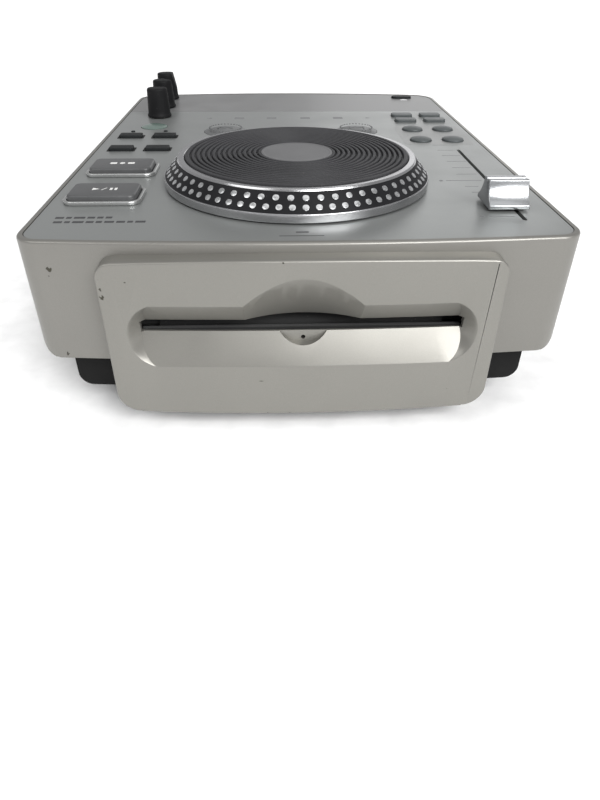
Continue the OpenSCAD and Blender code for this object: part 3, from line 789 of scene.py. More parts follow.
class Palette(Enum):
    """Every finish on the deck."""

    COVER = SilverPaint(
        "cover_silver", (0.225, 0.219, 0.202), 0.36, 0.6, 0.05,
        (
            Chip((-0.0955, -0.1432, 0.0690), 0.00099), Chip((-0.0962, -0.1432, 0.0664), 0.00043),
            Chip((-0.0963, -0.1435, 0.0321), 0.00068), Chip((0.0348, -0.1474, 0.0800), 0.00037),
        ),
    )
    BEZEL = SilverPaint(
        "bezel_silver", (0.240, 0.234, 0.214), 0.36, 0.6, 0.05,
        (
            Chip((-0.0753, -0.1522, 0.0690), 0.00062), Chip((-0.0756, -0.1525, 0.0648), 0.00074),
            Chip((-0.0752, -0.1525, 0.0618), 0.00105), Chip((-0.0759, -0.1520, 0.0575), 0.0005),
            Chip((-0.0657, -0.1539, 0.0681), 0.00037), Chip((-0.0169, -0.1552, 0.0248), 0.00043, (0.25, 1, 2.5)),
            Chip((-0.0149, -0.1550, 0.0088), 0.00043), Chip((-0.0056, -0.1552, 0.0083), 0.00043),
            Chip((-0.0078, -0.1552, 0.0757), 0.00043), Chip((0.0601, -0.1541, 0.0186), 0.00025),
        ),
    )
    DECK = SilverPaint("deck_silver", (0.285, 0.295, 0.29), 0.34, 0.6, 0.04)
    FIELD = SilverPaint("field_silver", (0.33, 0.335, 0.33), 0.42, 0.6, 0.04)
    FRAME = SilverPaint("frame_silver", (0.42, 0.425, 0.42), 0.27, 0.8, 0.05)
    FADER = SilverPaint("fader_silver_coat", (0.40, 0.41, 0.42), 0.26, 0.85, 0.05)
    WINDOW = Moulded("smoked_band", (0.115, 0.115, 0.115), 0.3, 500.0, 0.000006, 0.3, 0.0)
    TUB = Moulded("black_tub", (0.005, 0.005, 0.005), 0.62, 1400.0, 0.00006, 0.1, 0, 0, 0.15)
    SEAL = Moulded("felt_black", (0.008, 0.008, 0.008), 0.9, 2600.0, 0.0001, 0.3, 0.0, 0.2)
    FOOT = Moulded("foot_rubber", (0.018, 0.018, 0.018), 0.75, 1200.0, 0.00005, 0.4)
    MAT = Moulded("ribbed_mat", (0.026, 0.026, 0.028), 0.5, 1800.0, 0.00002, 0.25, 0, 0, 0.22)
    CENTRE = Moulded("centre_grey", (0.088, 0.088, 0.090), 0.42, 1500.0, 0.00002, 0.3, 0, 0, 0.4)
    BIG_KEY = Moulded("big_key_grey", (0.052, 0.053, 0.054), 0.33, 900.0, 0.000015, 0.3)
    DARK_KEY = Moulded("dark_key", (0.008, 0.009, 0.0095), 0.45, 900.0, 0.000015, 0.12, 0, 0, 0.15)
    SIDE_KEY = Moulded("side_key_grey", (0.050, 0.056, 0.057), 0.36, 900.0, 0.000015, 0.3, 0, 0, 0.4)
    MODE_KEY = Moulded("green_grey_lens", (0.085, 0.115, 0.102), 0.22, 700.0, 0.00001, 0.2, 0.2)
    SKIP_KEY = Moulded("skip_key_grey", (0.085, 0.087, 0.088), 0.36, 900.0, 0.000015, 0.4)
    KNOB = Moulded("soft_black", (0.003, 0.003, 0.0035), 0.55, 2200.0, 0.00003, 0.2, 0, 0, 0.15)
    # painted shade: black standing in for the shade inside the gaps of the key slots
    SLOT = Moulded("painted_slot_shade", (0.004, 0.004, 0.004), 0.8, 900.0, 0.00002, 0.0)
    POT = Moulded("pot_grey", (0.10, 0.10, 0.09), 0.6)
    COIL = Moulded("varnished_coil", (0.35, 0.20, 0.06), 0.45, 700.0, 0.0001)
    GLASS = Moulded("display_cell", (0.02, 0.035, 0.035), 0.15, 400.0, 0.000005, 0.1, 0.5)
    STROBE = Moulded("strobe_black", (0.006, 0.006, 0.007), 0.42, 1500.0, 0.00001, 0.1, 0, 0, 0.15)
    STEEL = Metal("drawn_steel", (0.55, 0.55, 0.56), 0.28)
    BRASS = Metal("bush_brass", (0.66, 0.47, 0.20), 0.25)
    GOLD = Metal("plated_jack", (0.80, 0.62, 0.28), 0.18)
    BOARD = Board("solder_mask", (0.02, 0.12, 0.05), 0.4)
    DOT = Metal("dot_silver", (0.74, 0.75, 0.76), 0.2, (900.0, 900.0, 900.0))
    WHITE_INK = Ink("white_ink", (0.72, 0.72, 0.70), 0.55, (0.08, 0.08, 0.08), 0.4)
    DARK_INK = Ink("dark_ink", (0.035, 0.035, 0.037), 0.55, (0.25, 0.25, 0.25), 0.2)
    GREY_INK = Ink("grey_ink", (0.14, 0.142, 0.145), 0.5, (0.28, 0.285, 0.28), 0.35)
    LIGHT_INK = Ink("light_ink", (0.80, 0.80, 0.80), 0.45, (0.4, 0.4, 0.4), 0.2)


def paint(piece: bpy.types.Object, finish: Finish) -> None:
    """Gives a piece one finish all over.

    Args:
        piece: The piece or CAD node.
        finish: The finish.
    """
    piece.data.materials.clear()
    piece.data.materials.append(finish.material())


def low(node: str) -> Vector:
    """Returns the lowest corner of a CAD node."""
    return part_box(node)[0]


def high(node: str) -> Vector:
    """Returns the highest corner of a CAD node."""
    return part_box(node)[1]


def middle_of(node: str) -> Vector:
    """Returns the middle of a CAD node's box."""
    return (low(node) + high(node)) / 2


DECK_Z = high("key_frames").z - 0.0018
FRONT_Y = low("front_bezel").y + 0.0128


def behind(distance: float) -> float:
    """Returns the y of a place on the deck.

    Args:
        distance: Millimetres behind the front edge line.
    """
    return FRONT_Y + distance * MM


@dataclass
class Assembly:
    """A sub-assembly that builds its pieces and hands them to the frame."""

    body: str = HOUSING

    def settle(
        self,
        piece: bpy.types.Object,
        finish: Finish,
        slot: str,
        replaces: Sequence[str] = (),
        body: str | None = None,
        angle: float = 32.0,
    ) -> bpy.types.Object:
        """Dresses a finished piece and ties it to its body.

        Args:
            piece: The piece, in place.
            finish: Its finish.
            slot: The record's material slot; not used.
            replaces: CAD nodes that it stands for.
            body: The body it rides on, the assembly's own when left out.
            angle: Edges sharper than this stay crisp.

        Returns:
            The piece.
        """
        paint(piece, finish)
        smooth(piece, angle)
        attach(piece, body or self.body)
        if replaces:
            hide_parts(*replaces)
        LOG.info("%s: %d faces", piece.name, len(piece.data.polygons))
        return piece

    def rounded_copy(
        self, node: str, name: str, finish: Finish, slot: str, width: float, segments: int = 3
    ) -> bpy.types.Object:
        """Copies a CAD node with its edges rounded and stands it in the node's place.

        Args:
            node: The CAD node.
            name: The new piece's name.
            finish: Its finish.
            slot: The record's material slot.
            width: Width of the rounding, in metres.
            segments: Steps across the rounding.

        Returns:
            The new piece.
        """
        piece = cad_copy(node, name)
        soften(piece, width, segments)
        body = frame["nodes"][node]["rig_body"]
        return self.settle(piece, finish, slot, (node,), body)

    def build(self) -> None:
        """Builds the sub-assembly's pieces."""
        raise NotImplementedError


@dataclass
class Housing(Assembly):
    """The silver cover, the deck, the window, the tub and its feet."""

    rim_round: float = 0.0011
    edge_round: float = 0.0004

    def build(self) -> None:
        """Builds the cover, dresses the panels and makes the feet."""
        cover = cad_copy("top_cover", "silver_cover")
        top, half = high("top_cover").z, high("top_cover").x
        soften(cover, self.rim_round, 4, lambda e: middle(e).z > top - 0.0002 and self._outer(e, half))
        soften(cover, self.edge_round, 2, lambda e: middle(e).z < low("top_cover").z + 0.0002)
        self.settle(cover, Palette.COVER.value, "silver_paint", ("top_cover",), angle=40.0)
        paint(frame["nodes"]["deck_panel"], Palette.DECK.value)
        paint(frame["nodes"]["display_window"], Palette.WINDOW.value)
        self.rounded_copy("bottom_chassis", "black_tub", Palette.TUB.value, "black_plastic", 0.0006, 2)
        self._feet()

    def _outer(self, edge: bmesh.types.BMEdge, half: float) -> bool:
        """Says whether an edge lies on the cover's outer outline.

        Args:
            edge: The edge.
            half: Half of the cover's width.
        """
        sides = [f for f in edge.link_faces if abs(f.normal.z) < 0.5]
        point = middle(edge)
        return any(f.normal.x * point.x + f.normal.y * point.y > 0 for f in sides) and half > 0

    def _feet(self) -> None:
        """Turns four rubber feet with a step and a screw well."""
        box_low, box_high = low("rubber_feet"), high("rubber_feet")
        radius, height = 0.012, box_high.z
        section = filleted([
            (0.0, height, 0), (radius, height, 0), (radius, 0.0045, 0.0006), (radius - 0.0012, 0.0035, 0.0004),
            (radius - 0.0012, 0, 0.001), (0.0062, 0, 0.0005), (0.0052, 0.0022, 0.0003), (0, 0.0022, 0),
        ], 3)
        feet = []
        for x in (box_low.x + radius, box_high.x - radius):
            for y in (box_low.y + radius, box_high.y - radius):
                feet.append(spun(f"foot_{len(feet)}", section, Vector((x, y, 0)), 40))
        self.settle(joined("foot_set", feet), Palette.FOOT.value, "black_rubber", ("rubber_feet",))


@dataclass
class Bezel(Assembly):
    """The raised front bezel with its slot, scoop and recess."""

    face_round: float = 0.0008
    recess_round: float = 0.0003

    def build(self) -> None:
        """Builds the bezel with its rounded rims."""
        bezel = cad_copy("front_bezel", "slot_bezel")
        box_low = low("front_bezel")
        middle_z = middle_of("front_bezel").z

        def outline(edge: bmesh.types.BMEdge) -> bool:
            """Says whether an edge runs round the bezel's front face."""
            point = middle(edge)
            front = any(f.normal.y < -0.8 for f in edge.link_faces)
            outer = abs(point.x) > 0.0690 or abs(point.z - middle_z) > 0.0290
            return front and outer and point.y < box_low.y + 0.0045

        def rims(edge: bmesh.types.BMEdge) -> bool:
            """Says whether an edge lies inside the outline, on the recess."""
            point = middle(edge)
            inside = abs(point.x) < 0.0689 and abs(point.z - middle_z) < 0.0285
            return inside and any(f.normal.y < -0.95 for f in edge.link_faces) and point.y < box_low.y + 0.004

        soften(bezel, self.face_round, 6, outline)
        soften(bezel, self.recess_round, 2, rims, 12.0)
        self.settle(bezel, Palette.BEZEL.value, "silver_paint", ("front_bezel",), angle=16.0)


@dataclass
class Jog(Assembly):
    """The jog platter with its strobe cone, ribbed mat and centre disc."""

    body: str = "jog"
    cone_low: Pair = (0.0604, 0.0041)
    cone_high: Pair = (0.0544, 0.0109)
    dot_radius: float = 0.00132
    dot_height: float = 0.00012

    def build(self) -> None:
        """Builds the turned metal, the cone, the dots, the mat and the disc."""
        middle_point = middle_of("platter")
        self.centre = Vector((middle_point.x, middle_point.y, DECK_Z))
        axis = tuple(self.centre)
        metal = Turned("turned_aluminium", (0.50, 0.50, 0.51), 0.15, axis)
        section = filleted([
            (0.00405, 0.0017, 0), (0.014, 0.0017, 0.0005), (0.016, 0.0066, 0.0005), (0.0508, 0.0066, 0.001),
            (0.0568, 0.0035, 0.0005), (0.0568, 0.0005, 0.0002), (0.0608, 0.0005, 0.0005), (0.0608, 0.0041, 0.0005),
            (0.0599, 0.0041, 0), (0.0539, 0.0109, 0), (0.0544, 0.0110, 0.0001), (0.0538, 0.0119, 0.0005),
            (0.0514, 0.0119, 0.0003), (0.0508, 0.0114, 0.0002), (0.0508, 0.0106, 0), (0.00405, 0.0106, 0),
        ], 4)
        platter = spun("turned_platter", section, self.centre, 256)
        self.settle(platter, metal, "polished_aluminium", ("platter",), angle=25.0)
        (r0, z0), (r1, z1) = self.cone_low, self.cone_high
        cone = spun("strobe_cone", [(r0 - 0.0005, z0), (r0, z0), (r1, z1), (r1 - 0.0005, z1)], self.centre, 256)
        self.settle(cone, Palette.STROBE.value, "strobe_paint", ("strobe_band",), angle=25.0)
        self._dots("strobe_dots_low", 70, 0.30, 1.63)
        self._dots("strobe_dots_high", 60, 0.73, 1.75)
        self._mat(metal)

    def _dots(self, name: str, count: int, share: float, offset: float) -> None:
        """Sets one row of silver dots on the cone.

        Args:
            name: The row's name.
            count: How many dots go round.
            share: How far up the cone the row stands.
            offset: Where the first dot stands, in degrees from the front.
        """
        (r0, z0), (r1, z1) = self.cone_low, self.cone_high
        slope = math.atan2(z1 - z0, r0 - r1)
        radius, height = r0 + (r1 - r0) * share, z0 + (z1 - z0) * share
        rim, rise = self.dot_radius, self.dot_height
        section = [(0, -0.0001), (rim, -0.0001), (rim, rise), (rim * 0.86, rise * 1.3), (0, rise * 1.2)]
        dot = spun(name, section, Vector((0, 0, 0)), 18)
        tilt = Matrix.Rotation(math.radians(offset), 4, "Z") @ Matrix.Translation((0, -radius, height))
        tilt = tilt @ Matrix.Rotation(math.pi / 2 - slope, 4, "X")
        dot.data.transform(Matrix.Translation(self.centre) @ tilt)
        with editing(dot):
            bpy.ops.mesh.spin(
                steps=count, angle=TURN, dupli=True, center=tuple(self.centre), axis=(0, 0, 1)
            )
            bpy.ops.mesh.select_all(action="SELECT")
            bpy.ops.mesh.remove_doubles(threshold=WELD * 5)
            bpy.ops.mesh.normals_make_consistent(inside=False)
        self.settle(dot, Palette.DOT.value, "polished_aluminium")

    def _mat(self, metal: Finish) -> None:
        """Turns the ribbed mat and the smooth centre disc.

        Args:
            metal: The finish of the thin ring round the disc.
        """
        outer, hub, base, top = 0.0507, 0.01645, 0.0106, 0.0125
        depth = 0.0012
        ribs = 14
        inner = hub + 0.0012
        pitch = (outer - 0.0006 - inner) / ribs
        section: list[Triple] = [(0, base, 0), (outer, base, 0), (outer, top, 0.0004)]
        for i in reversed(range(ribs)):
            start = inner + i * pitch
            section += [
                (start + pitch * 0.44, top, 0.0003), (start + pitch * 0.37, top - depth, 0.0002),
                (start + pitch * 0.05, top - depth, 0.0002), (start - pitch * 0.02, top, 0.0003),
            ]
        section += [(hub, top, 0.0001), (hub, base + 0.0006, 0), (0, base + 0.0006, 0)]
        mat = spun("ribbed_slipmat", filleted(section, 3), self.centre, 160)
        self.settle(mat, Palette.MAT.value, "mat_rubber", ("slipmat",), angle=50.0)
        disc_section = filleted([
            (0, base + 0.0006, 0), (hub - 0.0001, base + 0.0006, 0), (hub - 0.0001, top + 0.0001, 0.0003),
            (hub - 0.0012, top + 0.00005, 0.0002), (hub - 0.0015, top - 0.00005, 0.0001), (0, top - 0.00003, 0),
        ], 3)
        disc = spun("centre_cap", disc_section, self.centre, 128)
        self.settle(disc, Palette.CENTRE.value, "grey_cap", ("centre_disc",), angle=40.0)


@dataclass
class Knobs(Assembly):
    """Three tapered knobs with a slanted flank."""

    top_round: float = 0.0005

    def build(self) -> None:
        """Rounds each knob's upper edges."""
        for i in (1, 2, 3):
            node = f"knob_{i}"
            knob = cad_copy(node, f"tapered_knob_{i}")
            soften(knob, self.top_round, 3, lambda e, z=high(node).z: middle(e).z > z - 0.012, 20.0)
            self.settle(knob, Palette.KNOB.value, "knob_plastic", (node,), node, 35.0)


@dataclass
class Fader(Assembly):
    """The pitch fader's cap, lever and scale."""

    groove_w: float = 0.0018
    groove_d: float = 0.0007

    def build(self) -> None:
        """Builds the cap and prints the scale beside its slot."""
        self._cap()
        paint(frame["nodes"]["fader_lever"], Palette.STEEL.value)
        rows = [
            (54.0, 77.7, 81.1), (62.4, 76.8, 83.0), (71.6, 70.2, 87.0), (82.0, 77.7, 87.5), (93.2, 78.2, 88.0),
            (104.9, 78.3, 88.5), (116.2, 78.3, 88.0), (127.0, 78.3, 88.0), (138.0, 78.0, 92.0), (22.3, 76.4, 86.8),
        ]
        marks = [self._bar(i, f, a, b) for i, (f, a, b) in enumerate(rows)]
        for x, f in ((73.4, 22.6), (67.8, 71.6)):
            marks.append(plate(f"scale_ring_{f}", ring_of(x * MM, behind(f), 0.0009, 16), *PRINT))
        self.settle(joined("fader_scale", marks), Palette.GREY_INK.value, "deck_paint")

    def _cap(self) -> None:
        """Copies the cap, cuts the groove across its top and rounds its edges."""
        cap = cad_copy("fader_cap", "waisted_cap")
        centre, size, top = middle_of("fader_cap"), high("fader_cap") - low("fader_cap"), high("fader_cap").z
        outline = rounded_box(centre.x, centre.y, size.x + 0.002, self.groove_w, 0.0001)
        cutter = plate("cutter", outline, top - self.groove_d, top + 0.001)
        apply_modifier(cap, "BOOLEAN", object=cutter, operation="DIFFERENCE", solver="EXACT")
        bpy.data.objects.remove(cutter)
        soften(cap, 0.0005, 3)
        self.settle(cap, Palette.FADER.value, "fader_silver", ("fader_cap",), "fader", 30.0)

    def _bar(self, i: int, f: float, start: float, end: float) -> bpy.types.Object:
        """Prints one line of the scale.

        Args:
            i: The line's number.
            f: Its place, in millimetres behind the front edge line.
            start: Its left end, in millimetres.
            end: Its right end, in millimetres.

        Returns:
            The line's piece.
        """
        thick = 0.00055 if f in (22.3, 71.6) else 0.00035
        outline = rounded_box((start + end) / 2 * MM, behind(f), (end - start) * MM, thick, 0.0001)
        return plate(f"scale_{i}", outline, *PRINT)


PRINT: Pair = (DECK_Z - 0.00002, DECK_Z + 0.00004)


def triangle(x: float, y: float, size: float, point: float) -> list[Pair]:
    """Returns a small arrow head's outline.

    Args:
        x: The middle across, in metres.
        y: The middle along, in metres.
        size: Half of its height.
        point: 1 to point right and -1 to point left.

    Returns:
        The outline's points.
    """
    tip = (x + point * size, y, 0.0001)
    corners = [tip, (x - point * size, y + size, 0.0001), (x - point * size, y - size, 0.0001)]
    return filleted(corners if point > 0 else [corners[0], corners[2], corners[1]], 2)


@dataclass
class Keys(Assembly):
    """All the keys, their frames, slots (drawn as painted shade) and symbols."""

    field_margin: float = 0.0035

    def build(self) -> None:
        """Builds every key and what surrounds it."""
        self.rounded_copy("key_frames", "silver_frames", Palette.FRAME.value, "silver_paint", 0.0006, 3)
        for node, name in (("play_key", "play_pad"), ("cue_key", "cue_pad")):
            self._pressed(node, name, Palette.BIG_KEY.value, "key_plastic", 0.0010)
        for i in range(1, 5):
            self._pressed(f"left_key_{i}", f"left_pad_{i}", Palette.DARK_KEY.value, "key_plastic", 0.0004)
            # a thin black plate round each left key: painted shade of its slot gap
            self._lay_slot_shade(f"left_key_{i}", f"left_slot_shade_{i}", 0.0012, 0.0005)
        for i in range(1, 9):
            self._pressed(f"right_key_{i}", f"right_pad_{i}", Palette.SIDE_KEY.value, "key_plastic", 0.0004)
        self._field()
        self._pressed("mode_key", "mode_lens", Palette.MODE_KEY.value, "mode_plastic", 0.0004)
        self._pressed("eject_key", "eject_pad", Palette.DARK_KEY.value, "key_plastic", 0.0004)
        for node, way in (("skip_back_key", -1.0), ("skip_next_key", 1.0)):
            self._pressed(node, node.replace("_key", "_pad"), Palette.SKIP_KEY.value, "skip_plastic", 0.0006)
            self._skip_symbol(node, way)
        self._play_symbol()
        self._cue_symbol()

    def _field(self) -> None:
        """Lays the silver field about the four round keys."""
        nodes = [f"right_key_{i}" for i in range(1, 5)]
        left, right = min(low(n).x for n in nodes), max(high(n).x for n in nodes)
        front, back = min(low(n).y for n in nodes), max(high(n).y for n in nodes)
        margin = self.field_margin
        size = (right - left + 2 * margin, back - front + 2 * margin)
        outline = rounded_box((left + right) / 2, (front + back) / 2, *size, 0.004)
        field = plate("key_field", outline, *PRINT)
        for node in nodes:
            at = middle_of(node)
            reach = (high(node).x - low(node).x) / 2 - 0.0003
            cutter = plate("cutter", ring_of(at.x, at.y, reach, 32), PRINT[0] - 0.001, PRINT[1] + 0.001)
            apply_modifier(field, "BOOLEAN", object=cutter, operation="DIFFERENCE", solver="EXACT")
            bpy.data.objects.remove(cutter)
        self.settle(field, Palette.FIELD.value, "deck_paint")

    def _body(self, node: str) -> str:
        """Returns the body that a CAD node rides on."""
        return frame["nodes"][node]["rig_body"]

    def _pressed(self, node: str, name: str, finish: Finish, slot: str, width: float) -> None:
        """Copies a key and rounds the edges of its top.

        Args:
            node: The CAD node.
            name: The new piece's name.
            finish: Its finish.
            slot: The record's material slot.
            width: Width of the rounding, in metres.
        """
        key = cad_copy(node, name)
        top = high(node).z
        soften(key, width, 4, lambda e: middle(e).z > top - 0.0012)
        self.settle(key, finish, slot, (node,), self._body(node), 40.0)

    def _lay_slot_shade(self, node: str, name: str, wide: float, deep: float) -> None:
        """Lays a thin black surround about a key: painted shade for the dark gap of the slot cut round it.

        Args:
            node: The key's CAD node.
            name: The new piece's name.
            wide: How far it reaches past the key, left and right.
            deep: How far it reaches past the key, front and back.
        """
        centre = middle_of(node)
        size = high(node) - low(node)
        w, d = size.x - 0.0016, size.y - 0.0016
        outer = plate(name, rounded_box(centre.x, centre.y, w + 2 * wide, d + 2 * deep, 0.0009), PRINT[0], DECK_Z + 0.0001)
        inner = plate("cutter", rounded_box(centre.x, centre.y, w + 0.0006, d + 0.0006, 0.001), DECK_Z - 0.001, DECK_Z + 0.001)
        apply_modifier(outer, "BOOLEAN", object=inner, operation="DIFFERENCE", solver="EXACT")
        bpy.data.objects.remove(inner)
        self.settle(outer, Palette.SLOT.value, "key_plastic")

    def _symbol(self, name: str, node: str, outlines: Sequence[Sequence[Pair]], finish: Finish, rise: float = 0.00004) -> None:
        """Prints a symbol on a key's top.

        Args:
            name: The symbol's name.
            node: The key's CAD node.
            outlines: The outlines, about the key's middle.
            finish: The ink.
            rise: How far the print stands up.
        """
        centre, top = middle_of(node), high(node).z
        parts = [
            plate(f"{name}_{i}", [(centre.x + x, centre.y + y) for x, y in line], top - 0.0002, top + rise)
            for i, line in enumerate(outlines)
        ]
        slot = "skip_plastic" if finish is Palette.SKIP_KEY.value else "key_plastic"
        self.settle(joined(name, parts), finish, slot, body=self._body(node))

    def _play_symbol(self) -> None:
        """Prints an arrow, a stroke and two bars."""
        slash = [(-0.0011, -0.0014), (-0.0006, -0.0014), (0.0011, 0.0014), (0.0006, 0.0014)]
        bars = [rounded_box(x, 0, 0.0011, 0.0028, 0.0001) for x in (0.0030, 0.0050)]
        self._symbol("play_symbol", "play_key", [triangle(-0.0035, 0, 0.0015, 1), slash, *bars], Palette.WHITE_INK.value)

    def _cue_symbol(self) -> None:
        """Prints a row of three plain marks: a dot between two bars."""
        marks = [rounded_box(-0.0042, 0, 0.0032, 0.0026, 0.0006), ring_of(0, 0, 0.0013, 20), rounded_box(0.0042, 0, 0.0032, 0.0026, 0.0006)]
        self._symbol("cue_symbol", "cue_key", marks, Palette.WHITE_INK.value)

    def _skip_symbol(self, node: str, way: float) -> None:
        """Raises a double arrow and a band of pips on a round key.

        Args:
            node: The key's CAD node.
            way: 1 for forwards and -1 for back.
        """
        pips = [ring_of(0.0094 * math.cos(a), 0.0094 * math.sin(a), 0.0005, 8) for a in [TURN * i / 30 for i in range(30)]]
        arrows = [triangle(-0.0022 * way, 0, 0.0019, way), triangle(0.0016 * way, 0, 0.0019, way)]
        name = node.replace("_key", "_relief")
        lowered = [[(x, y) for x, y in line] for line in [*pips, *arrows, rounded_box(0.0043 * way, 0, 0.0008, 0.0038, 0.0001)]]
        self._symbol(name, node, lowered, Palette.SKIP_KEY.value, 0.00012)


@dataclass
class Printing(Assembly):
    """The plain marks printed on the deck."""

    def build(self) -> None:
        """Prints the marks behind the platter, the legend bars and the lamps."""
        y = behind(209.5)
        marks = [
            plate("mark_a", triangle(-0.0518, y, 0.0016, -1), *PRINT), plate("mark_f", triangle(0.0510, y, 0.0016, 1), *PRINT),
        ]
        for i, x in enumerate((-0.0324, -0.0117, 0.0100, 0.0312)):
            marks.append(plate(f"mark_block_{i}", rounded_box(x, y, 0.0062, 0.0052, 0.0006), *PRINT))
        self.settle(joined("track_marks", marks), Palette.GREY_INK.value, "deck_paint")
        self._legend()
        lamps = [spun(f"lamp_{i}", filleted([(0, -0.0002, 0), (0.0012, -0.0002, 0), (0.0012, 0.0005, 0.0003), (0, 0.0007, 0)], 2), Vector((x * MM, behind(f), DECK_Z)), 20) for i, (x, f) in enumerate(((-93.7, 172.5), (-74.6, 173.0)))]
        self.settle(joined("key_lamps", lamps), Palette.DARK_KEY.value, "key_plastic")

    def _legend(self) -> None:
        """Prints plain bars where legends stand on the real thing."""
        bars = []
        for row, (f, start, end) in enumerate(((24.6, -98.0, -75.5), (19.6, -97.5, -61.5))):
            widths = (3.4, 2.2, 4.4, 3.0, 2.4, 3.8)
            x, i = start, 0
            while x < end:
                width = min(widths[i % len(widths)], end - x)
                outline = rounded_box((x + width / 2) * MM, behind(f), width * MM, 0.0021, 0.0003)
                bars.append(plate(f"legend_{row}_{i}", outline, *PRINT))
                x, i = x + width + 0.9, i + 1
        self.settle(joined("side_legend", bars), Palette.DARK_INK.value, "deck_paint")
        small = [plate("legend_mid", rounded_box(-0.0001, behind(6.8), 0.0050, 0.0011, 0.0004), *PRINT)]
        small.append(plate("legend_line", rounded_box(-0.0005, behind(3.0), 0.0170, 0.0005, 0.0002), *PRINT))
        self.settle(joined("front_legend", small), Palette.DARK_INK.value, "deck_paint")
        eject = [plate("eject_bar", rounded_box(0.0850, behind(270.2), 0.0050, 0.0010, 0.0003), *PRINT)]
        eject.append(plate("eject_arrow", filleted([(0.0825, behind(271.4), 0.0001), (0.0875, behind(271.4), 0.0001), (0.0850, behind(273.6), 0.0001)], 2), *PRINT))
        self.settle(joined("eject_mark", eject), Palette.LIGHT_INK.value, "smoked_window")


@dataclass
class RearPanel(Assembly):
    """The connectors and the power rocker at the back."""

    def build(self) -> None:
        """Builds the connector pieces with rounded edges."""
        copies = (
            ("rear_panel", "connector_plate", Palette.TUB, "black_plastic"),
            ("power_inlet", "mains_socket", Palette.TUB, "black_plastic"),
            ("rocker_housing", "rocker_frame", Palette.TUB, "black_plastic"),
            ("power_rocker", "rocker_paddle", Palette.DARK_KEY, "black_plastic"),
        )
        for node, name, finish, slot in copies:
            self.rounded_copy(node, name, finish.value, slot, 0.0003, 2)
        paint(frame["nodes"]["rca_jacks"], Palette.GOLD.value)


@dataclass
class Insides(Assembly):
    """Everything under the deck, kept in its CAD shape."""

    def build(self) -> None:
        """Dresses the inner nodes."""
        finishes = {
            Palette.SEAL: ("dust_seal",), Palette.GLASS: ("display_module",), Palette.BRASS: ("jog_bearing",),
            Palette.STEEL: ("case_screws", "jog_shaft", "pot_shaft_1", "pot_shaft_2", "pot_shaft_3", "encoder_disc", "drive_frame", "hub_motor"),
            Palette.TUB: ("encoder_sensor", "key_switches", "pickup_sled", "disc_hub"), Palette.FOOT: ("feed_roller",),
            Palette.POT: ("pot_bodies", "fader_body"), Palette.BOARD: ("control_board", "main_board"), Palette.COIL: ("power_supply",),
        }
        for finish, nodes in finishes.items():
            for node in nodes:
                paint(frame["nodes"][node], finish.value)
                LOG.info("%s dressed", node)


# ---------------------------------------------------------------- studio


@dataclass(frozen=True)
class FarLight:
    """A wide, soft light that stands far away."""

    name: str
    azimuth: float
    elevation: float
    spread: float
    strength: float

    def build(self) -> None:
        """Hangs the light; its azimuth runs from the front towards the right."""
        data = bpy.data.lights.new(self.name, "SUN")
        data.angle = math.radians(self.spread)
        data.energy = self.strength
        lamp = bpy.data.objects.new(self.name, data)
        bpy.context.scene.collection.objects.link(lamp)
        side, up = math.radians(self.azimuth), math.radians(self.elevation)
        ahead = Vector((-math.sin(side) * math.cos(up), math.cos(side) * math.cos(up), -math.sin(up)))
        lamp.rotation_euler = ahead.to_track_quat("-Z", "Y").to_euler()


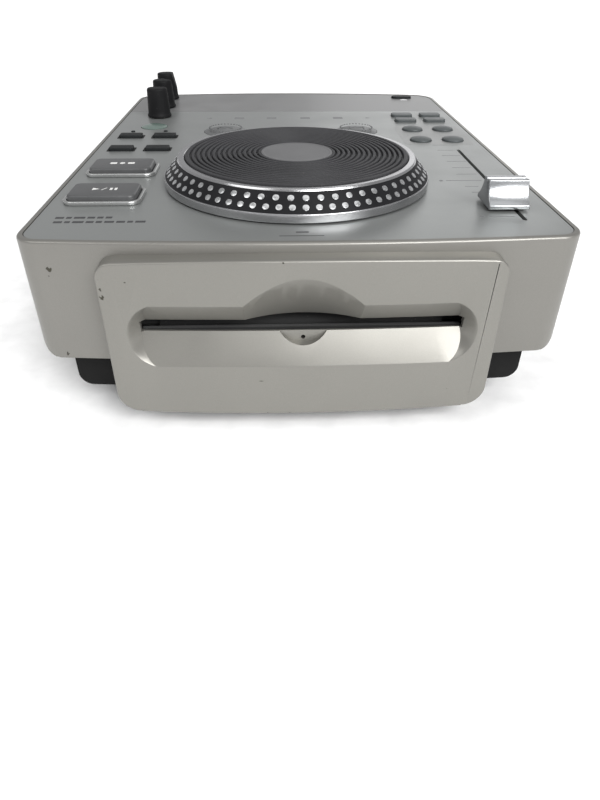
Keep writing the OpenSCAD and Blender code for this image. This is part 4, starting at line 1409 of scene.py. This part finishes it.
@dataclass(frozen=True)
class Studio:
    """The floor, the lights and the camera."""

    eye: Triple = (-0.01016, -0.3637, 0.1654)
    pitch: float = 35.79
    yaw: float = 2.41
    roll: float = 0.39
    lens: float = 27.77
    floor_size: float = 12.0
    sky: float = 1.0

    def build(self) -> None:
        """Sets up the floor, the lights, the surroundings and the camera."""
        self._floor()
        self._surroundings()
        lights = (
            FarLight("key_light", 30.0, 37.0, 40.0, 3.5),
            FarLight("left_light", -58.0, 48.0, 34.0, 0.6),
            FarLight("back_light", 165.0, 15.0, 24.0, 0.10),
            FarLight("top_light", 150.0, 78.0, 50.0, 0.45),
        )
        for light in lights:
            light.build()
        self._camera()

    def _floor(self) -> None:
        """Lays a pale floor with a soft mottle."""
        bpy.ops.object.select_all(action="DESELECT")
        bpy.ops.mesh.primitive_plane_add(size=self.floor_size, location=(0, 0, 0))
        floor = bpy.context.object
        floor.name = "studio_floor"
        paint(floor, Moulded("floor_white", (0.86, 0.86, 0.86), 0.7, 30.0, 0.00005, 0.0))

    def _surroundings(self) -> None:
        """Lights the scene from all round, a little less from above."""
        world = bpy.data.worlds.new("studio")
        bpy.context.scene.world = world
        world.use_nodes = True
        nodes, links = world.node_tree.nodes, world.node_tree.links
        place = nodes.new("ShaderNodeTexCoord")
        parts = nodes.new("ShaderNodeSeparateXYZ")
        links.new(place.outputs["Generated"], parts.inputs[0])
        ramp = nodes.new("ShaderNodeValToRGB")
        links.new(parts.outputs["Z"], ramp.inputs[0])
        ramp.color_ramp.elements[0].position = 0.0
        ramp.color_ramp.elements[0].color = (0.50, 0.50, 0.51, 1)
        ramp.color_ramp.elements[1].position = 0.8
        ramp.color_ramp.elements[1].color = (0.36, 0.36, 0.36, 1)
        sky = nodes["Background"]
        links.new(ramp.outputs[0], sky.inputs["Color"])
        sky.inputs["Strength"].default_value = self.sky

    def _camera(self) -> None:
        """Sets the camera at the viewing angle."""
        data = bpy.data.cameras.new("camera")
        camera = bpy.data.objects.new("camera", data)
        bpy.context.scene.collection.objects.link(camera)
        bpy.context.scene.camera = camera
        data.lens, data.sensor_width = self.lens, 36.0
        data.clip_start, data.clip_end = 0.01, 50.0
        yaw, pitch, roll = (math.radians(v) for v in (self.yaw, self.pitch, self.roll))
        ahead = Vector((math.sin(yaw) * math.cos(pitch), math.cos(yaw) * math.cos(pitch), -math.sin(pitch)))
        right = Vector((math.cos(yaw), -math.sin(yaw), 0))
        up = right.cross(ahead)
        side = math.cos(roll) * right + math.sin(roll) * up
        top = math.cos(roll) * up - math.sin(roll) * right
        camera.matrix_world = Matrix((
            (side.x, top.x, -ahead.x, self.eye[0]), (side.y, top.y, -ahead.y, self.eye[1]),
            (side.z, top.z, -ahead.z, self.eye[2]), (0, 0, 0, 1),
        ))
        bpy.context.scene.view_settings.view_transform = "Standard"


def main() -> None:
    """Builds the deck, then its studio."""
    logging.basicConfig(level=logging.INFO, format="%(name)s %(message)s")
    for part in (Housing, Bezel, Jog, Knobs, Fader, Keys, Printing, RearPanel, Insides):
        part().build()
    Studio().build()


if __name__ == "__main__":
    main()
